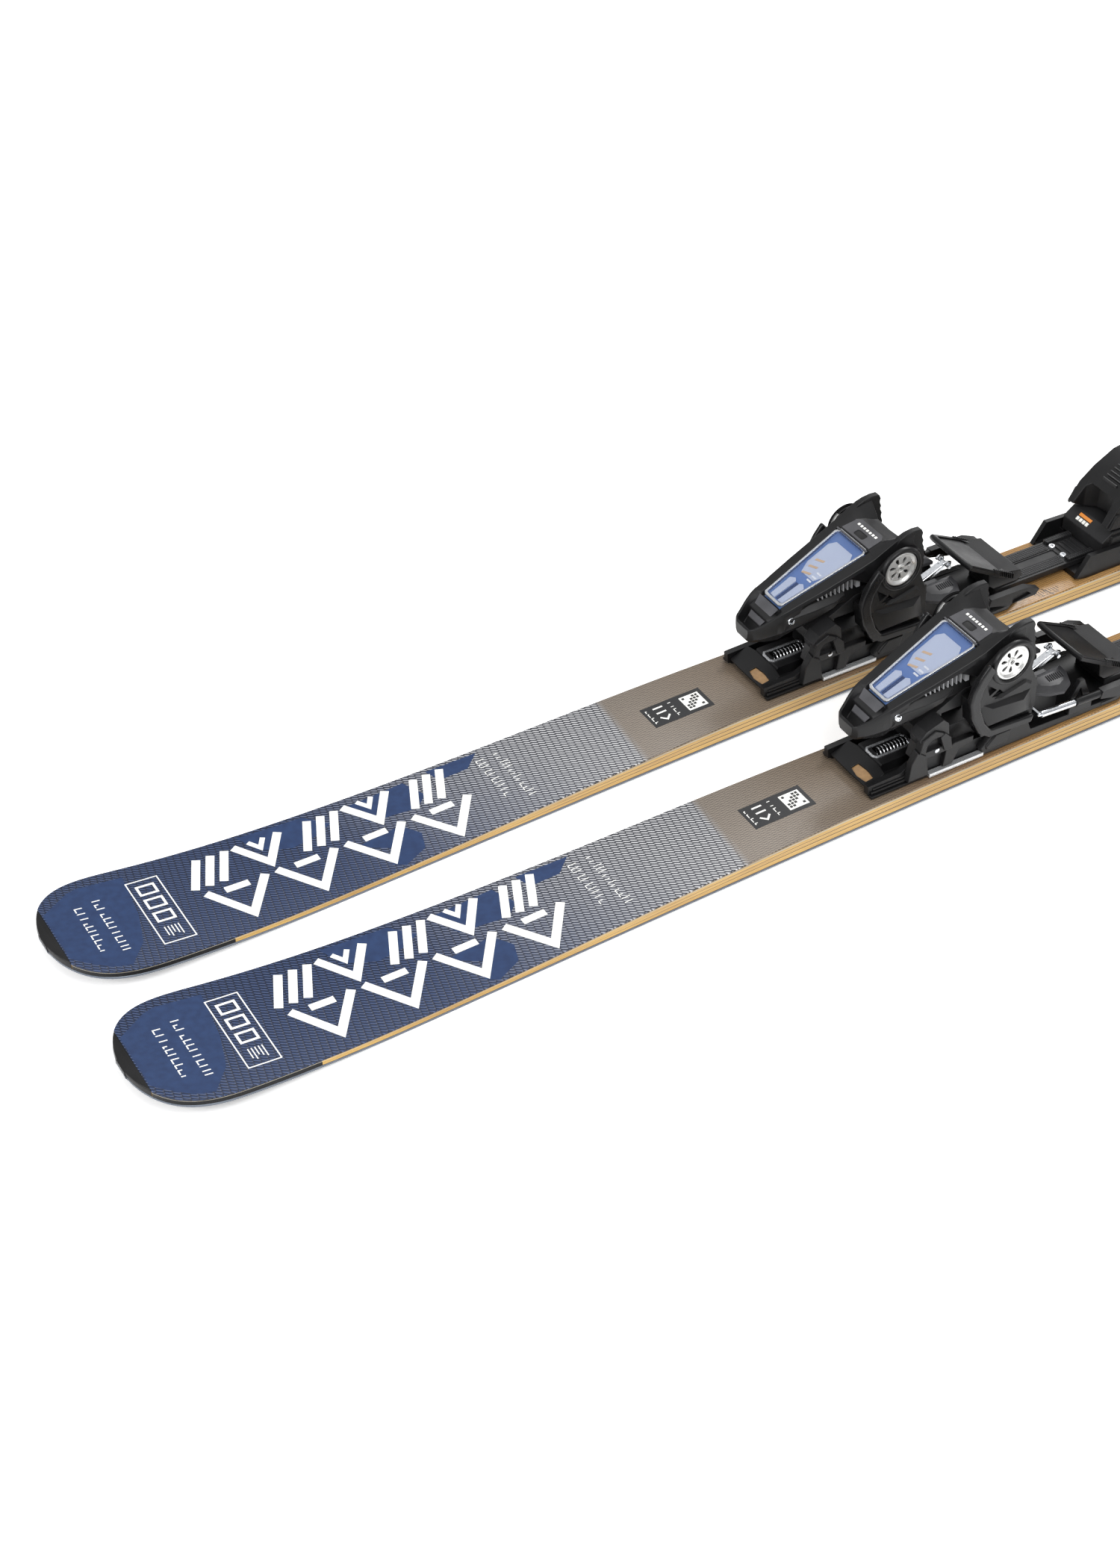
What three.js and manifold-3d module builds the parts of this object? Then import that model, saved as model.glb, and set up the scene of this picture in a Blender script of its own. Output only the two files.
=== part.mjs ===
// A pair of alpine skis with step-in bindings, side by side on a floor.
// Millimetres. +X points to the tips, +Y to the left ski, +Z up.
// The origin is on the floor, at mid-length, midway between the skis.
import * as THREE from 'three';
import { mergeVertices } from 'three/addons/utils/BufferGeometryUtils.js';
import Module from 'manifold-3d';

const wasm = await Module();
wasm.setup();

// ---------------------------------------------------------------- driving sizes
const SKI_LENGTH = 1790;
const SKI_SPACING = 159;          // centre line to centre line
const WAIST_WIDTH = 82.4;
const WAIST_X = -176;             // narrowest place, behind mid-length
const SIDECUT_RADIUS = 23200;
const TIP_ROUND = 95;             // length of the rounded tip
const TAIL_ROUND = 55;            // length of the rounded tail
const TIP_LIFT = 22;
const TAIL_LIFT = 9;
const CAMBER = 2.5;
const SHOVEL = 255;               // the base leaves the floor this far before each end
const END_THICKNESS = 7.6;
const MID_THICKNESS = 17.5;
const EDGE_WIDTH = 2.2;
const EDGE_HEIGHT = 2;
const TOP_SHEET = 1.3;
const SIDEWALL_LEAN = 0.9;        // the top is this much narrower each side
const TIP_GUARD = 10;             // length of the plastic tip guard
const SEAM = 0.2;                 // gap between laminated layers
const GAP = 0.35;                 // gap between pieces that seat on each other

const PLATE_FRONT = 213;
const PLATE_REAR = -88;
const PLATE_HALF = 32.6;          // half width of the toe plate
const PLATE_WALL = 6;
const PLATE_FLOOR = 3.2;
const RAIL_TOP = 24;              // side rails above the deck
const FRONT_RAIL = 13;            // the same rails in front of the toe carriage
const STRIP = 2.6;                // steel slide plate
const STRIP_HALF = 34.6;
const STRIP_FRONT = 151;
const SPRING_RADIUS = 5.4;
const SPRING_WIRE = 1.5;
const SPRING_TURNS = 8;
const SPRING_FRONT = 186;
const SPRING_LENGTH = 33;
const TOE_FLOAT = 3;              // the toe moves this far forward against its spring
const TOE_AXIS_X = 78;            // the toe jaw's side cap
const TOE_AXIS_Z = 123;
const CAP_RADIUS = 17.6;
const CAP_DEPTH = 3;
const JAW_IN = 36;                // inner face of the jaw's side plate
const JAW_OUT = 43;
const JAW_PIVOT_X = 114;
const JAW_PIVOT_Y = 31.5;
const FIN_IN = 28.5;
const NOSE_X = 219;
const LENS_FRONT = 187;
const LENS_REAR = 101;
const LENS_FRONT_HALF = 12.5;
const LENS_REAR_HALF = 21.5;
const LENS_Z = 103;               // housing top at the lens front
const LENS_SLOPE = 0.395;
const LENS_DEPTH = 3;
const SOLE_Z = 70;                // top of the sole rest
const SOLE_HALF = 43;
const SOLE_THICK = 9;
const PEDAL_HALF = 31;
const PEDAL_FRONT = -15;
const PEDAL_FRONT_Z = 84;
const PEDAL_REAR = -68;
const PEDAL_REAR_Z = 56;
const PEDAL_THICK = 5;
const PEDAL_AXIS_X = -70;
const PEDAL_AXIS_Z = 50;
const LINK_X = 25;
const LINK_Z = 56;
const LINK_TIP_X = -10;
const LINK_TIP_Z = 71.5;
const BRAKE_WIRE = 4.6;
const BRAKE_HALF = 46;            // the brake arms run this far from the centre line
const BRAKE_AXIS_X = 40;
const BRAKE_AXIS_Z = 52;
const BRAKE_REACH = 100;
const BAND_HALF = 20;
const BAND_THICK = 6.2;
const BAND_FRONT = -60;
const TRACK_FRONT = -150;
const TRACK_REAR = -385;
const TRACK_HALF = 31;
const HEEL_FRONT = -181;
const HEEL_LENGTH = 122;
const HEEL_HALF = 29;
const HEEL_AXIS_Z = 76;
const HEEL_CAVITY_HALF = 19;

// ---------------------------------------------------------------- derived sizes
const HALF_LENGTH = SKI_LENGTH / 2;
const TIP_START = HALF_LENGTH - TIP_ROUND;
const TAIL_START = TAIL_ROUND - HALF_LENGTH;
const CONTACT_X = HALF_LENGTH - SHOVEL;
const DECK = CAMBER + MID_THICKNESS + GAP;
const STRIP_TOP = DECK + STRIP;
const PLATE_BASE = STRIP_TOP + GAP;
const PLATE_TOP = PLATE_BASE + PLATE_FLOOR;
const WALL_IN = PLATE_HALF - PLATE_WALL;
const SPRING_Z = PLATE_TOP + SPRING_RADIUS + SPRING_WIRE;
const BAND_BASE = PLATE_TOP + GAP;
const HEEL_REAR = HEEL_FRONT - HEEL_LENGTH;
const TRACK_RAIL_TOP = DECK + 13;
const HEEL_BASE = TRACK_RAIL_TOP + GAP;
const HEEL_AXIS_X = HEEL_REAR + 40;

// ---------------------------------------------------------------- materials
const finish = (color, roughness, metalness = 0) =>
  new THREE.MeshStandardMaterial({ color, roughness, metalness });
const BASE_BLACK = finish(0x17181a, 0.5);
const EDGE_STEEL = finish(0x9a9ea3, 0.35, 1);
const SIDEWALL = finish(0xd9a441, 0.45);
const BLUE_SHEET = finish(0x3d5488, 0.55);
const BLACK_PLASTIC = finish(0x1e1f21, 0.5);
const GREY_PLASTIC = finish(0x2c2d30, 0.55);
const CHROME = finish(0xd5d8dc, 0.15, 1);
const TINTED_LENS = new THREE.MeshStandardMaterial(
  { color: 0x4a64a0, roughness: 0.1, transparent: true, opacity: 0.5 });

// ---------------------------------------------------------------- shape helpers
const AXIS_X = new THREE.Vector3(1, 0, 0);
const AXIS_Y = new THREE.Vector3(0, 1, 0);
const AXIS_Z = new THREE.Vector3(0, 0, 1);

function toSolid(geometry) {
  const bare = geometry.clone();
  bare.deleteAttribute('normal');
  bare.deleteAttribute('uv');
  const merged = mergeVertices(bare, 1e-4);
  return new wasm.Manifold(new wasm.Mesh({
    numProp: 3,
    vertProperties: new Float32Array(merged.attributes.position.array),
    triVerts: new Uint32Array(merged.index.array),
  }));
}

function toGeometry(solid) {
  const mesh = solid.getMesh();
  const geometry = new THREE.BufferGeometry();
  geometry.setAttribute('position', new THREE.BufferAttribute(mesh.vertProperties, 3));
  geometry.setIndex(new THREE.BufferAttribute(mesh.triVerts, 1));
  geometry.computeVertexNormals();
  return geometry;
}

const join = (first, ...others) => others.reduce((sum, item) => sum.add(item), first);
const cut = (first, ...others) => others.reduce((rest, item) => rest.subtract(item), first);

function outline(points) {
  return new THREE.Shape(points.map(([a, b]) => new THREE.Vector2(a, b)));
}

// An outline in X and Y, raised from one height to another.
function raised(points, low, high) {
  const geometry = new THREE.ExtrudeGeometry(outline(points), { depth: high - low, bevelEnabled: false });
  return toSolid(geometry.translate(0, 0, low));
}

// An outline in X and Z, carried across from one Y to another.
function across(points, low, high) {
  const geometry = new THREE.ExtrudeGeometry(outline(points), { depth: high - low, bevelEnabled: false });
  return toSolid(geometry.rotateX(Math.PI / 2).translate(0, high, 0));
}

// An outline in Y and Z, carried along from one X to another.
function along(points, low, high) {
  const geometry = new THREE.ExtrudeGeometry(outline(points), { depth: high - low, bevelEnabled: false });
  geometry.applyMatrix4(new THREE.Matrix4().makeBasis(AXIS_Y, AXIS_Z, AXIS_X));
  return toSolid(geometry.translate(low, 0, 0));
}

function block(x0, x1, y0, y1, z0, z1) {
  const geometry = new THREE.BoxGeometry(x1 - x0, y1 - y0, z1 - z0);
  return toSolid(geometry.translate((x0 + x1) / 2, (y0 + y1) / 2, (z0 + z1) / 2));
}

// A round bar from one point to another.
function bar(from, to, radius, sides = 10) {
  const start = new THREE.Vector3(...from);
  const end = new THREE.Vector3(...to);
  const way = end.clone().sub(start);
  const geometry = new THREE.CylinderGeometry(radius, radius, way.length(), sides);
  geometry.applyQuaternion(new THREE.Quaternion().setFromUnitVectors(AXIS_Y, way.clone().normalize()));
  const middle = start.add(end).multiplyScalar(0.5);
  return toSolid(geometry.translate(middle.x, middle.y, middle.z));
}

// A wire bent through a list of points, with a ball at each bend.
function wire(points, radius, sides = 8) {
  const runs = points.slice(1).map((point, i) => bar(points[i], point, radius, sides));
  const bends = points.slice(1, -1).map((point) =>
    toSolid(new THREE.SphereGeometry(radius * 1.04, sides, 6).translate(...point)));
  return join(runs[0], ...runs.slice(1), ...bends);
}

const mirrored = (points) => [...points, ...points.map(([a, b]) => [a, -b]).reverse()];

// ---------------------------------------------------------------- the ski's own shape
function halfWidth(x) {
  const side = WAIST_WIDTH / 2 + (x - WAIST_X) ** 2 / (2 * SIDECUT_RADIUS);
  const tip = Math.max(0, (x - TIP_START) / (HALF_LENGTH - TIP_START));
  const tail = Math.max(0, (TAIL_START - x) / (HALF_LENGTH + TAIL_START));
  return side * Math.sqrt(Math.max(0.02, 1 - tip ** 3.5)) * Math.sqrt(Math.max(0.25, 1 - tail ** 4));
}

function baseHeight(x) {
  const beyond = Math.max(0, Math.abs(x) - CONTACT_X) / (HALF_LENGTH - CONTACT_X);
  const lift = x > 0 ? TIP_LIFT * beyond ** 2.3 : TAIL_LIFT * beyond ** 3;
  const span = Math.min(1, Math.abs(x) / CONTACT_X);
  return lift + CAMBER * (1 - span ** 2) ** 2;
}

function thickness(x) {
  const reach = Math.min(1, Math.abs(x) / CONTACT_X);
  const bulge = reach < 0.35 ? 1 : 0.5 + 0.5 * Math.cos(Math.PI * (reach - 0.35) / 0.65);
  return END_THICKNESS + (MID_THICKNESS - END_THICKNESS) * bulge;
}

const topHeight = (x) => baseHeight(x) + thickness(x);

// Stations along the ski, closer together where the outline turns.
function stations(from, to) {
  const marks = [];
  for (const t of [0, 0.03, 0.1, 0.22, 0.4, 0.65]) marks.push(-HALF_LENGTH + t * (HALF_LENGTH + TAIL_START));
  for (let i = 0; i <= 20; i += 1) marks.push(TAIL_START + i / 20 * (CONTACT_X - TAIL_START));
  for (let i = 1; i <= 4; i += 1) marks.push(CONTACT_X + i / 4 * (TIP_START - CONTACT_X));
  for (const t of [0.25, 0.42, 0.56, 0.67, 0.76, 0.84, 0.9, 0.95, 0.98, 1]) {
    marks.push(TIP_START + t * (HALF_LENGTH - TIP_START));
  }
  return [from, ...marks.filter((x) => x > from + 1 && x < to - 1), to];
}

// One layer of the ski between two heights, with its own half widths below and above.
function layer(from, to, low, high, halfLow, halfHigh) {
  const marks = stations(from, to);
  const count = marks.length - 1;
  const geometry = new THREE.BoxGeometry(1, 1, 1, count, 1, 1);
  const position = geometry.attributes.position;
  for (let i = 0; i < position.count; i += 1) {
    const x = marks[Math.round((position.getX(i) + 0.5) * count)];
    const above = position.getZ(i) > 0;
    const half = above ? halfHigh(x) : halfLow(x);
    position.setXYZ(i, x, Math.sign(position.getY(i)) * half, above ? high(x) : low(x));
  }
  return toSolid(geometry);
}

// ---------------------------------------------------------------- the ski's layers
function runningBase() {
  const inside = (x) => halfWidth(x) - EDGE_WIDTH - SEAM;
  const inset = EDGE_WIDTH + SEAM;
  return layer(-HALF_LENGTH + inset, HALF_LENGTH - inset, baseHeight,
    (x) => baseHeight(x) + EDGE_HEIGHT, inside, inside);
}

function steelEdge() {
  const inside = (x) => halfWidth(x) - EDGE_WIDTH;
  const outer = layer(-HALF_LENGTH, HALF_LENGTH, baseHeight, (x) => baseHeight(x) + EDGE_HEIGHT,
    halfWidth, halfWidth);
  const hollow = layer(-HALF_LENGTH + EDGE_WIDTH, HALF_LENGTH - EDGE_WIDTH, (x) => baseHeight(x) - 1,
    (x) => baseHeight(x) + EDGE_HEIGHT + 1, inside, inside);
  return cut(outer, hollow);
}

const coreBase = (x) => baseHeight(x) + EDGE_HEIGHT + SEAM;
const sheetBase = (x) => topHeight(x) - TOP_SHEET;
const sheetHalf = (x) => Math.max(4, halfWidth(x) - SIDEWALL_LEAN);

function woodCore() {
  return layer(-HALF_LENGTH, HALF_LENGTH - TIP_GUARD - GAP, coreBase,
    (x) => sheetBase(x) - SEAM, (x) => halfWidth(x) - 0.4, sheetHalf);
}

function topSheet() {
  return layer(-HALF_LENGTH, HALF_LENGTH - TIP_GUARD - GAP, sheetBase, topHeight,
    sheetHalf, (x) => sheetHalf(x) - 0.9);
}

function tipGuard() {
  return layer(HALF_LENGTH - TIP_GUARD, HALF_LENGTH, coreBase, topHeight,
    (x) => halfWidth(x) - 0.2, (x) => Math.max(4, halfWidth(x) - 2.4));
}

// ---------------------------------------------------------------- toe plate and spring
function slidePlate() {
  const strip = block(-30, STRIP_FRONT, -STRIP_HALF, STRIP_HALF, DECK, STRIP_TOP);
  const window = block(95, STRIP_FRONT - 8, -12, 12, DECK - 1, STRIP_TOP + 1);
  return cut(strip, window);
}

function toePlate() {
  const lipDepth = 16;
  const tongueHalf = 17;
  const tongueTop = DECK + 16.5;
  const rear = raised(mirrored([[PLATE_REAR, 12], [PLATE_REAR + 6, 30], [PLATE_REAR + 26, 39],
    [PLATE_REAR + 46, 39], [PLATE_REAR + 56, PLATE_HALF], [STRIP_FRONT + 2, PLATE_HALF]].reverse()),
  PLATE_BASE, PLATE_TOP);
  const front = raised(mirrored([[PLATE_FRONT - lipDepth, 8], [PLATE_FRONT - 9, 18],
    [PLATE_FRONT - 5, PLATE_HALF], [STRIP_FRONT + GAP, PLATE_HALF]]), DECK, PLATE_TOP);
  const wallSide = [[PLATE_FRONT, PLATE_BASE], [PLATE_FRONT + 1, DECK + FRONT_RAIL],
    [PLATE_FRONT - 34, DECK + FRONT_RAIL + 1], [PLATE_FRONT - 45, DECK + RAIL_TOP - 4],
    [44, DECK + RAIL_TOP - 6], [36, PLATE_TOP - 0.5], [36, PLATE_BASE], [STRIP_FRONT + 3, PLATE_BASE],
    [STRIP_FRONT + 3, DECK], [PLATE_FRONT - 6, DECK]];
  const walls = [1, -1].map((side) => across(wallSide, ...(side > 0
    ? [WALL_IN, PLATE_HALF] : [-PLATE_HALF, -WALL_IN])));
  const tongue = across([[PLATE_FRONT - lipDepth, DECK + 1], [PLATE_FRONT - lipDepth - 1, DECK + 5],
    [SPRING_FRONT + 2, tongueTop], [SPRING_FRONT - 32, tongueTop], [SPRING_FRONT - 32, PLATE_BASE],
    [PLATE_FRONT - 22, DECK]], -tongueHalf, tongueHalf);
  const slot = block(SPRING_FRONT - 40, SPRING_FRONT - 3, -SPRING_RADIUS - 3, SPRING_RADIUS + 3,
    PLATE_TOP, tongueTop + 1);
  const window = raised([[193, -12], [200, -9], [200, 9], [193, 12]], DECK - 1, tongueTop + 1);
  return cut(join(rear, front, ...walls, tongue), slot, window);
}

function toeSpring() {
  class Helix extends THREE.Curve {
    getPoint(t, target = new THREE.Vector3()) {
      const turn = 2 * Math.PI * SPRING_TURNS * t;
      return target.set(SPRING_FRONT - 6 - SPRING_LENGTH * t, SPRING_RADIUS * Math.cos(turn),
        SPRING_Z + SPRING_RADIUS * Math.sin(turn));
    }
  }
  const round = new THREE.Shape();
  round.absarc(0, 0, SPRING_WIRE / 2, 0, 2 * Math.PI);
  return toSolid(new THREE.ExtrudeGeometry(round,
    { steps: SPRING_TURNS * 9, curveSegments: 3, extrudePath: new Helix() }));
}

// ---------------------------------------------------------------- toe carriage and housing
function toeCarriage() {
  const floor = PLATE_TOP + GAP;
  const inner = WALL_IN - 1;
  const railTop = DECK + RAIL_TOP + 0.8;
  const core = across([[SPRING_FRONT - 44, floor], [SPRING_FRONT - 44, 56], [160, 60], [160, 70],
    [148, 78.5], [130, 87.5], [112, 96], [104, 96], [104, 58], [45, 56], [2, 56], [2, floor]],
  -inner, inner);
  const armSide = [[134, railTop], [168, railTop], [164, 60], [166, 68], [160, 75.5], [142, 82],
    [136, 76], [134, 62]];
  const arms = [1, -1].map((side) => across(armSide, ...(side > 0 ? [inner - 3, 38] : [-38, 3 - inner])));
  const pocket = [1, -1].map((side) => across([[140, 52], [158, 52], [156, 66], [146, 72]],
    ...(side > 0 ? [34, 39] : [-39, -34])));
  const throat = block(99, 135, -inner - 1, inner + 1, 60, 78);
  const spine = block(98, 136, -9, 9, 55, 82);
  const linkSlot = block(-1, LINK_X + 9, -8, 8, LINK_Z - 14, 60);
  const axleRoom = BRAKE_WIRE / 2 + GAP;
  const axleSlot = block(BRAKE_AXIS_X - TOE_FLOAT - axleRoom, BRAKE_AXIS_X + axleRoom, -inner - 1, inner + 1,
    BRAKE_AXIS_Z - axleRoom, BRAKE_AXIS_Z + axleRoom);
  return cut(join(cut(join(core, ...arms), throat), spine), ...pocket, linkSlot, axleSlot);
}

const housingTop = (x) => LENS_Z + (LENS_FRONT - x) * LENS_SLOPE;

// The lens outline in plan, grown or shrunk by one margin.
const lensPlan = (margin) => [[LENS_FRONT + margin, -LENS_FRONT_HALF - margin],
  [LENS_FRONT + margin, LENS_FRONT_HALF + margin], [LENS_REAR - margin, LENS_REAR_HALF + margin],
  [LENS_REAR - margin, -LENS_REAR_HALF - margin]];

// A slab that follows the sloped top of the housing between two depths.
function slopedSlab(low, high) {
  const [x0, x1] = [LENS_REAR - 10, LENS_FRONT + 10];
  return across([[x0, housingTop(x0) + low], [x1, housingTop(x1) + low],
    [x1, housingTop(x1) + high], [x0, housingTop(x0) + high]], -40, 40);
}

function toeHousing() {
  const side = across([[NOSE_X - 2, 72], [NOSE_X, 79], [NOSE_X - 6, 88], [LENS_FRONT + 3, LENS_Z - 0.5],
    [LENS_REAR - 2, housingTop(LENS_REAR - 2)], [84, 144], [70, 140], [60, 134], [57, 122], [60, 113],
    [100, 106], [128, 92], [150, 82], [170, 73.5], [196, 69.5]], -45, 45);
  const plan = raised(mirrored([[52, 35], [84, 35], [110, 34], [150, 29], [190, 23.5], [207, 17],
    [215, 12], [NOSE_X, 8]].reverse()), 60, 160);
  const crown = along(mirrored([[60, 45], [100, 45], [126, 29.5], [160, 22]].reverse())
    .map(([z, y]) => [y, z]), 50, 225);
  const finSide = [[110, 104], [96, 112], [84, 123], [74, 136], [66, 148], [60, 153], [51, 152.5],
    [48.5, 146], [50.5, 143], [46.5, 138], [48.5, 135], [44.5, 130], [47, 127], [43.5, 121],
    [48, 114], [60, 106], [96, 98]];
  const fins = [1, -1].map((hand) => across(finSide, ...(hand > 0 ? [FIN_IN, 35.5] : [-35.5, -FIN_IN])));
  const body = join(side.intersect(plan).intersect(crown), ...fins);
  const saddle = along([[-FIN_IN + 0.5, 170], [-FIN_IN + 0.5, 147], [-22, 138], [-12, 134.5],
    [12, 134.5], [22, 138], [FIN_IN - 0.5, 147], [FIN_IN - 0.5, 170]], 40, 78);
  const bowl = raised(mirrored([[NOSE_X - 6, 6], [NOSE_X - 11, 11], [LENS_FRONT + 4, 14.5]]), 79, 125);
  const lensSeat = raised(lensPlan(0), 80, 170).intersect(slopedSlab(-LENS_DEPTH - GAP, 12));
  const tray = raised(lensPlan(-3), 80, 170).intersect(slopedSlab(-LENS_DEPTH - 5, 0));
  const button = block(90, 97, -7, 7, housingTop(93) - 4, 160);
  return cut(body, saddle, bowl, lensSeat, tray, button);
}

function indicatorLens() {
  return raised(lensPlan(-GAP), 80, 170).intersect(slopedSlab(-LENS_DEPTH, 0.8));
}

function toeScrew() {
  const radius = 4.6;
  const head = bar([LENS_FRONT + 4 + GAP, 0, 86], [LENS_FRONT + 15, 0, 86], radius, 14);
  const slot = block(LENS_FRONT + 13, LENS_FRONT + 16, -6, 6, 85.2, 86.8);
  return cut(head, slot);
}

// ---------------------------------------------------------------- toe jaws
const handed = (hand, near, far) => (hand > 0 ? [near, far] : [-far, -near]);

function toeJaw(hand) {
  const plate = across([[117, 92], [114, 108], [102, 124], [88, 136], [72, 141], [58, 137], [52, 124],
    [54, 108], [48, 94], [44, 84], [114, 84]], ...handed(hand, JAW_IN, JAW_OUT));
  const foot = across([[116, 92], [112, 66], [102, 54], [100, 47.5], [46, 47.5], [42, 62], [44, 92]],
    ...handed(hand, WALL_IN + 0.6, JAW_OUT - 0.8));
  const lip = across([[64, 80], [52, 80], [50, 92], [64, 98]], ...handed(hand, 18, JAW_IN + 1));
  const seat = bar([TOE_AXIS_X, hand * (JAW_OUT - CAP_DEPTH - GAP), TOE_AXIS_Z],
    [TOE_AXIS_X, hand * (JAW_OUT + 5), TOE_AXIS_Z], CAP_RADIUS + GAP, 28);
  const ring = bar([TOE_AXIS_X, hand * (JAW_OUT - 4), TOE_AXIS_Z],
    [TOE_AXIS_X, hand * (JAW_OUT + 1.6), TOE_AXIS_Z], CAP_RADIUS + 2.6, 28);
  const pockets = [
    across([[103, 108], [98, 94], [91, 98]], ...handed(hand, JAW_OUT - 4, JAW_OUT + 1)),
    across([[96, 91], [80, 88], [88, 97]], ...handed(hand, JAW_OUT - 4, JAW_OUT + 1)),
    across([[78, 82], [54, 80], [50, 60], [66, 60]], ...handed(hand, JAW_OUT - 3, JAW_OUT + 1)),
  ];
  const shape = join(plate, foot, lip, ring);
  return cut(shape, seat, ...pockets);
}

function pivotCap(hand) {
  const disc = bar([TOE_AXIS_X, hand * (JAW_OUT - CAP_DEPTH), TOE_AXIS_Z],
    [TOE_AXIS_X, hand * (JAW_OUT + 1.2), TOE_AXIS_Z], CAP_RADIUS, 28);
  const spokes = 6;
  const pockets = [];
  for (let i = 0; i < spokes; i += 1) {
    const turn = 2 * Math.PI * i / spokes;
    const [cx, cz] = [TOE_AXIS_X + 9.2 * Math.cos(turn), TOE_AXIS_Z + 9.2 * Math.sin(turn)];
    pockets.push(bar([cx, hand * (JAW_OUT - 1), cz], [cx, hand * (JAW_OUT + 3), cz], 3.1, 8));
  }
  return cut(disc, ...pockets);
}

// ---------------------------------------------------------------- sole rest, pedal and brake
function solePlate() {
  const front = 40;
  const rear = -3;
  const plan = mirrored([[front, 26], [36, 38], [14, SOLE_HALF], [2, 39], [rear, 28]].reverse());
  const upper = raised(plan, SOLE_Z - 4, SOLE_Z);
  const lower = raised(mirrored([[front, 24], [32, 33], [14, 36], [4, 33], [rear, 24]].reverse()),
    SOLE_Z - SOLE_THICK, SOLE_Z - 3);
  const linkSlot = block(rear - 1, 32, -8, 8, SOLE_Z - SOLE_THICK - 1, SOLE_Z + 1);
  return cut(join(upper, lower), linkSlot);
}

function brakePedal() {
  const slope = (PEDAL_FRONT_Z - PEDAL_REAR_Z) / (PEDAL_FRONT - PEDAL_REAR);
  const top = (x) => PEDAL_REAR_Z + (x - PEDAL_REAR) * slope;
  const plan = raised(mirrored([[PEDAL_FRONT, PEDAL_HALF], [-56, PEDAL_HALF + 2], [-66, 26], [-80, 13]]), 30, 100);
  const [x0, x1] = [-90, 0];
  const pad = plan.intersect(across([[x0, top(x0) - PEDAL_THICK], [x1, top(x1) - PEDAL_THICK],
    [x1, top(x1)], [x0, top(x0)]], -50, 50));
  const box = across([[-38, top(-38) - 1], [-40, 54], [-48, 47], [-76, 47], [-79, 50],
    [-76, top(-76) - 1]], -26, 26);
  const dish = plan.intersect(across([[-58, top(-58) - 1.4], [-21, top(-21) - 1.4], [-21, 120],
    [-58, 120]], -PEDAL_HALF + 4, PEDAL_HALF - 4));
  return cut(join(pad, box), dish);
}

function pedalLink() {
  const blade = across([[LINK_X + 4, LINK_Z - 1], [LINK_X + 1, LINK_Z + 4], [LINK_TIP_X + 1, LINK_TIP_Z + 2],
    [LINK_TIP_X - 2, LINK_TIP_Z], [LINK_TIP_X, LINK_TIP_Z - 2.5], [LINK_X - 2, LINK_Z - 4]], -3, 3);
  const pin = bar([LINK_TIP_X, -8.5, LINK_TIP_Z], [LINK_TIP_X, 8.5, LINK_TIP_Z], 2, 10);
  return join(blade, pin);
}

// One U of spring wire: an arm along each side of the ski and the axle between them.
function brakeWire(radius = BRAKE_WIRE / 2) {
  const rear = BRAKE_AXIS_X - BRAKE_REACH;
  const arm = [[rear, 1, 46], [BRAKE_AXIS_X - 20, 1, 49.5], [BRAKE_AXIS_X, 1, BRAKE_AXIS_Z]];
  const path = (hand) => arm.map(([x, y, z]) => [x, hand * y * BRAKE_HALF, z]);
  return wire([...path(1), ...path(-1).reverse()], radius);
}

// The plastic foot that digs into the snow, pushed over the end of an arm.
function brakeShoe(hand) {
  const rear = BRAKE_AXIS_X - BRAKE_REACH;
  const blade = across([[rear + 30, 51.5], [rear - 12, 51], [rear - 28, 44], [rear - 24, 38.5],
    [rear + 8, 38], [rear + 32, 44]], ...handed(hand, BRAKE_HALF - 3, BRAKE_HALF + 4));
  const hollow = cut(blade, brakeWire(BRAKE_WIRE / 2 + GAP));
  return cut(hollow, across([[rear + 4, 38], [rear - 18, 42], [rear - 12, 47], [rear + 4, 46]],
    ...handed(hand, BRAKE_HALF + 2, BRAKE_HALF + 5)));
}

// ---------------------------------------------------------------- centre band and heel
function centreBand() {
  const rear = HEEL_FRONT - 20;
  const beam = block(rear, BAND_FRONT, -BAND_HALF, BAND_HALF, BAND_BASE, BAND_BASE + BAND_THICK);
  const groove = block(-150, PLATE_REAR - 4, -5, 5, BAND_BASE + BAND_THICK - 1.2, BAND_BASE + BAND_THICK + 1);
  const ribs = [];
  for (let x = -178; x <= -156; x += 5.5) {
    ribs.push(block(x, x + 2.6, -11, 11, BAND_BASE + BAND_THICK - 1.4, BAND_BASE + BAND_THICK + 1));
  }
  return cut(beam, groove, ...ribs);
}

function heelTrack() {
  const floor = block(TRACK_REAR, TRACK_FRONT, -TRACK_HALF, TRACK_HALF, DECK, PLATE_TOP - 0.2);
  const rails = [1, -1].map((hand) => block(TRACK_REAR, TRACK_FRONT - 30,
    ...handed(hand, TRACK_HALF - 5, TRACK_HALF), DECK, TRACK_RAIL_TOP));
  const flange = [1, -1].map((hand) => across([[TRACK_FRONT + 2, DECK + 3], [TRACK_FRONT - 12, DECK + 25],
    [TRACK_FRONT - 62, DECK + 23], [TRACK_FRONT - 72, DECK + 6], [TRACK_FRONT - 60, DECK],
    [TRACK_FRONT - 10, DECK]], ...handed(hand, TRACK_HALF - 0.5, TRACK_HALF + 4.5)));
  return join(floor, ...rails, ...flange);
}

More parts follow.
